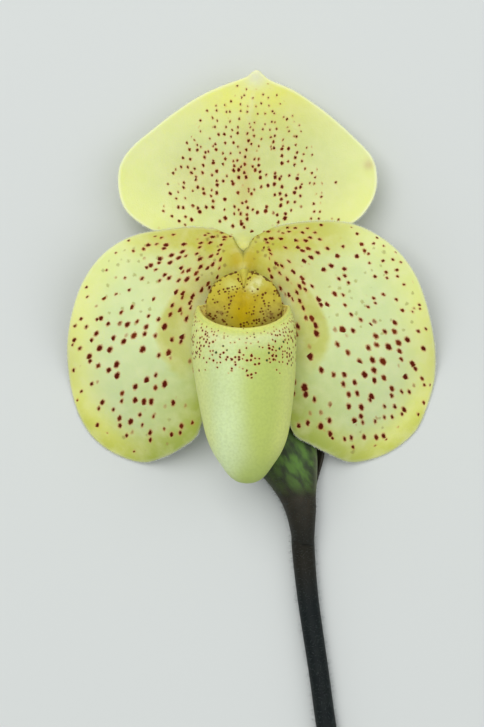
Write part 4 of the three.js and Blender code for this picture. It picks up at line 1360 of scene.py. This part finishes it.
# %% [markdown]
# ## The bract
# The bract is a green mottled leaf rolled round the foot of the ovary. A flat leaf could be bent by a
# modifier, but a sheet that is worked out ring by ring round a path can be kept clear of the ovary
# inside it. An outer and an inner sheet meet in rounded edges, and run together at the foot.

# %% The bract's surface
BRACT_PATH = [
    (12.35, -57.2, 2.95), (12.05, -52.9, 3.5), (11.6, -49.7, 3.65), (10.7, -47.2, 3.7),
    (9.4, -44.1, 3.75), (8.8, -40.2, 3.8), (8.3, -35.6, 3.85),
]
BRACT_WIDTHS = [2.24, 2.74, 3.4, 4.3, 5.9, 6.6, 6.8]
BRACT_HEIGHTS = [2.24, 2.69, 3.0, 3.2, 3.5, 3.6, 3.6]
BRACT_THICKNESS = 0.7
FIRST_EDGE, WRAP = 12, 336  # degrees: where the leaf starts round the ovary, and how far it goes


def bract_point(t, share, inset):
    """A point of the bract: t runs from its foot to its open end, share from its near to its far edge.

    Each ring is an open ellipse. The far edge swings out, and the middle of the leaf runs on further.
    """
    angle = np.radians(FIRST_EDGE + WRAP * share)
    centre = curve_through(BRACT_PATH, t, weighted=True)
    far_side = smooth((np.degrees(angle) - 270) / 78) * smooth((t - 0.58) / 0.42)
    width = curve_through(BRACT_WIDTHS, t)[..., 0] + 2.0 * far_side - inset
    height = curve_through(BRACT_HEIGHTS, t)[..., 0] - inset
    longer = 5.0 * t**2 * np.sin(angle / 2) ** 2
    x = centre[..., 0] + width * np.cos(angle) - 0.2 * longer
    return np.stack([x, centre[..., 1] + longer, centre[..., 2] + height * np.sin(angle)], -1)


def make_bract():
    """The bract's outer sheet and its inner one, rounded off at three edges and joined at the foot."""
    t, share = np.meshgrid(np.linspace(0, 1, 70), np.linspace(0, 1, 130), indexing="ij")
    edge = np.minimum(np.minimum(share, 1 - share) * 30, (1 - t) * 12)
    rounding = np.sqrt(1 - (1 - np.clip(edge / 0.6, 0, 1)) ** 2)
    pinch = (1 - rounding) * BRACT_THICKNESS / 2
    outer = bract_point(t, share, pinch)
    inner = bract_point(t, share, (BRACT_THICKNESS - pinch) * smooth(t / 0.12))
    points = np.concatenate([outer, inner[::-1]])
    x, y, z = points[..., 0], points[..., 1], points[..., 2]
    green = patch_at(x, y, (11.3, -39.5), 4.6, wide=1.2, tall=1.35) * smooth((y + 48.0) / 3.5)
    green = green * both_sides(smooth((0.93 - share) / 0.04))
    pale = smooth(share / 0.004) * bump_at(share, 0.045) * smooth((t - 0.45) / 0.2)
    paint = {
        "fan": np.stack([0.83 * x + 0.55 * y, 0.55 * x - 0.83 * y, z], -1),
        "tints": np.stack([green, both_sides(pale), both_sides(t)], -1),
    }
    return make_mesh("bract", points, paint, wrap_rows=True)


# %% The bract's skin
def bract_skin():
    """A leafy bract: a green patch with slanting darker stripes, brown elsewhere, darkest at its foot."""
    material, tree = new_material(
        "mottled_bract_leaf",
        Roughness=0.5,
        Subsurface_Weight=0.05,
        Subsurface_Scale=0.0005,
        Specular_IOR_Level=0.25,
    )
    green, pale, along = painted(tree, "tints")
    pattern = node(tree, "Attribute", attribute_name="fan").outputs["Vector"]
    stretched = node(tree, "Mapping", {"Vector": pattern, "Scale": (0.62, 0.24, 0.4)})
    stripes = node(tree, "TexNoise", {"Vector": stretched, "Scale": 1.0, "Detail": 2.5})
    range_of_green = {"Value": stripes, "From Min": 0.36, "From Max": 0.66}
    bright = node(tree, "MapRange", range_of_green, interpolation_type="SMOOTHSTEP")
    bark = node(tree, "TexNoise", {"Vector": pattern, "Scale": 0.6, "Detail": 3.0})
    foot = node(tree, "MapRange", {"Value": along, "From Min": 0.45, "From Max": 0.02})
    leaf = blend(tree, bright, "#3a482d", "#648c3a")
    brown = blend(tree, bark, "#17160d", "#3a3425")
    colour = glaze(tree, brown, (green, leaf), (foot, "#17170f"), (pale, "#8d9472", 0.6))
    ridges = node(tree, "Bump", {"Height": stripes, "Distance": 0.0002, "Strength": 0.4})
    dress(tree, Base_Color=colour, Normal=ridges)
    return material


place("bract_leaf", make_bract(), bract_skin(), "bract", "bract")


# %% The bract's hairs
def bract_fur(count, length, seed):
    """Short hairs over the outside of the bract."""
    draw = np.random.default_rng(seed)
    t = 0.02 + 0.94 * draw.uniform(0, 1, count) ** 0.6
    roots = bract_point(t, draw.uniform(0.02, 0.98, count), 0.0)
    outward = roots - curve_through(BRACT_PATH, t, weighted=True)
    outward[:, 1] = 0
    aims = unit(outward) + draw.normal(0, 0.3, (count, 3))
    lengths = length * draw.uniform(0.5, 1.2, count)
    return make_hairs("bract_down", stalk_down, roots, aims, lengths, FUR_WIDTH, FUR_BEND, seed)


bract_fur(1600, 0.9, 23)

# %% [markdown]
# ## Sizes
# The dressed bloom should fill the same room as its solids, but for waves and hairs. One could look
# at both from every side, but two boxes tell it in numbers.

# %% Sizes, and the end
visual_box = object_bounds()
for word, box in (("solids", cad_box), ("looks", visual_box)):
    low, high = ([round(v / MM, 1) for v in corner] for corner in box)
    print(word, "reach from", low, "to", high, "mm")
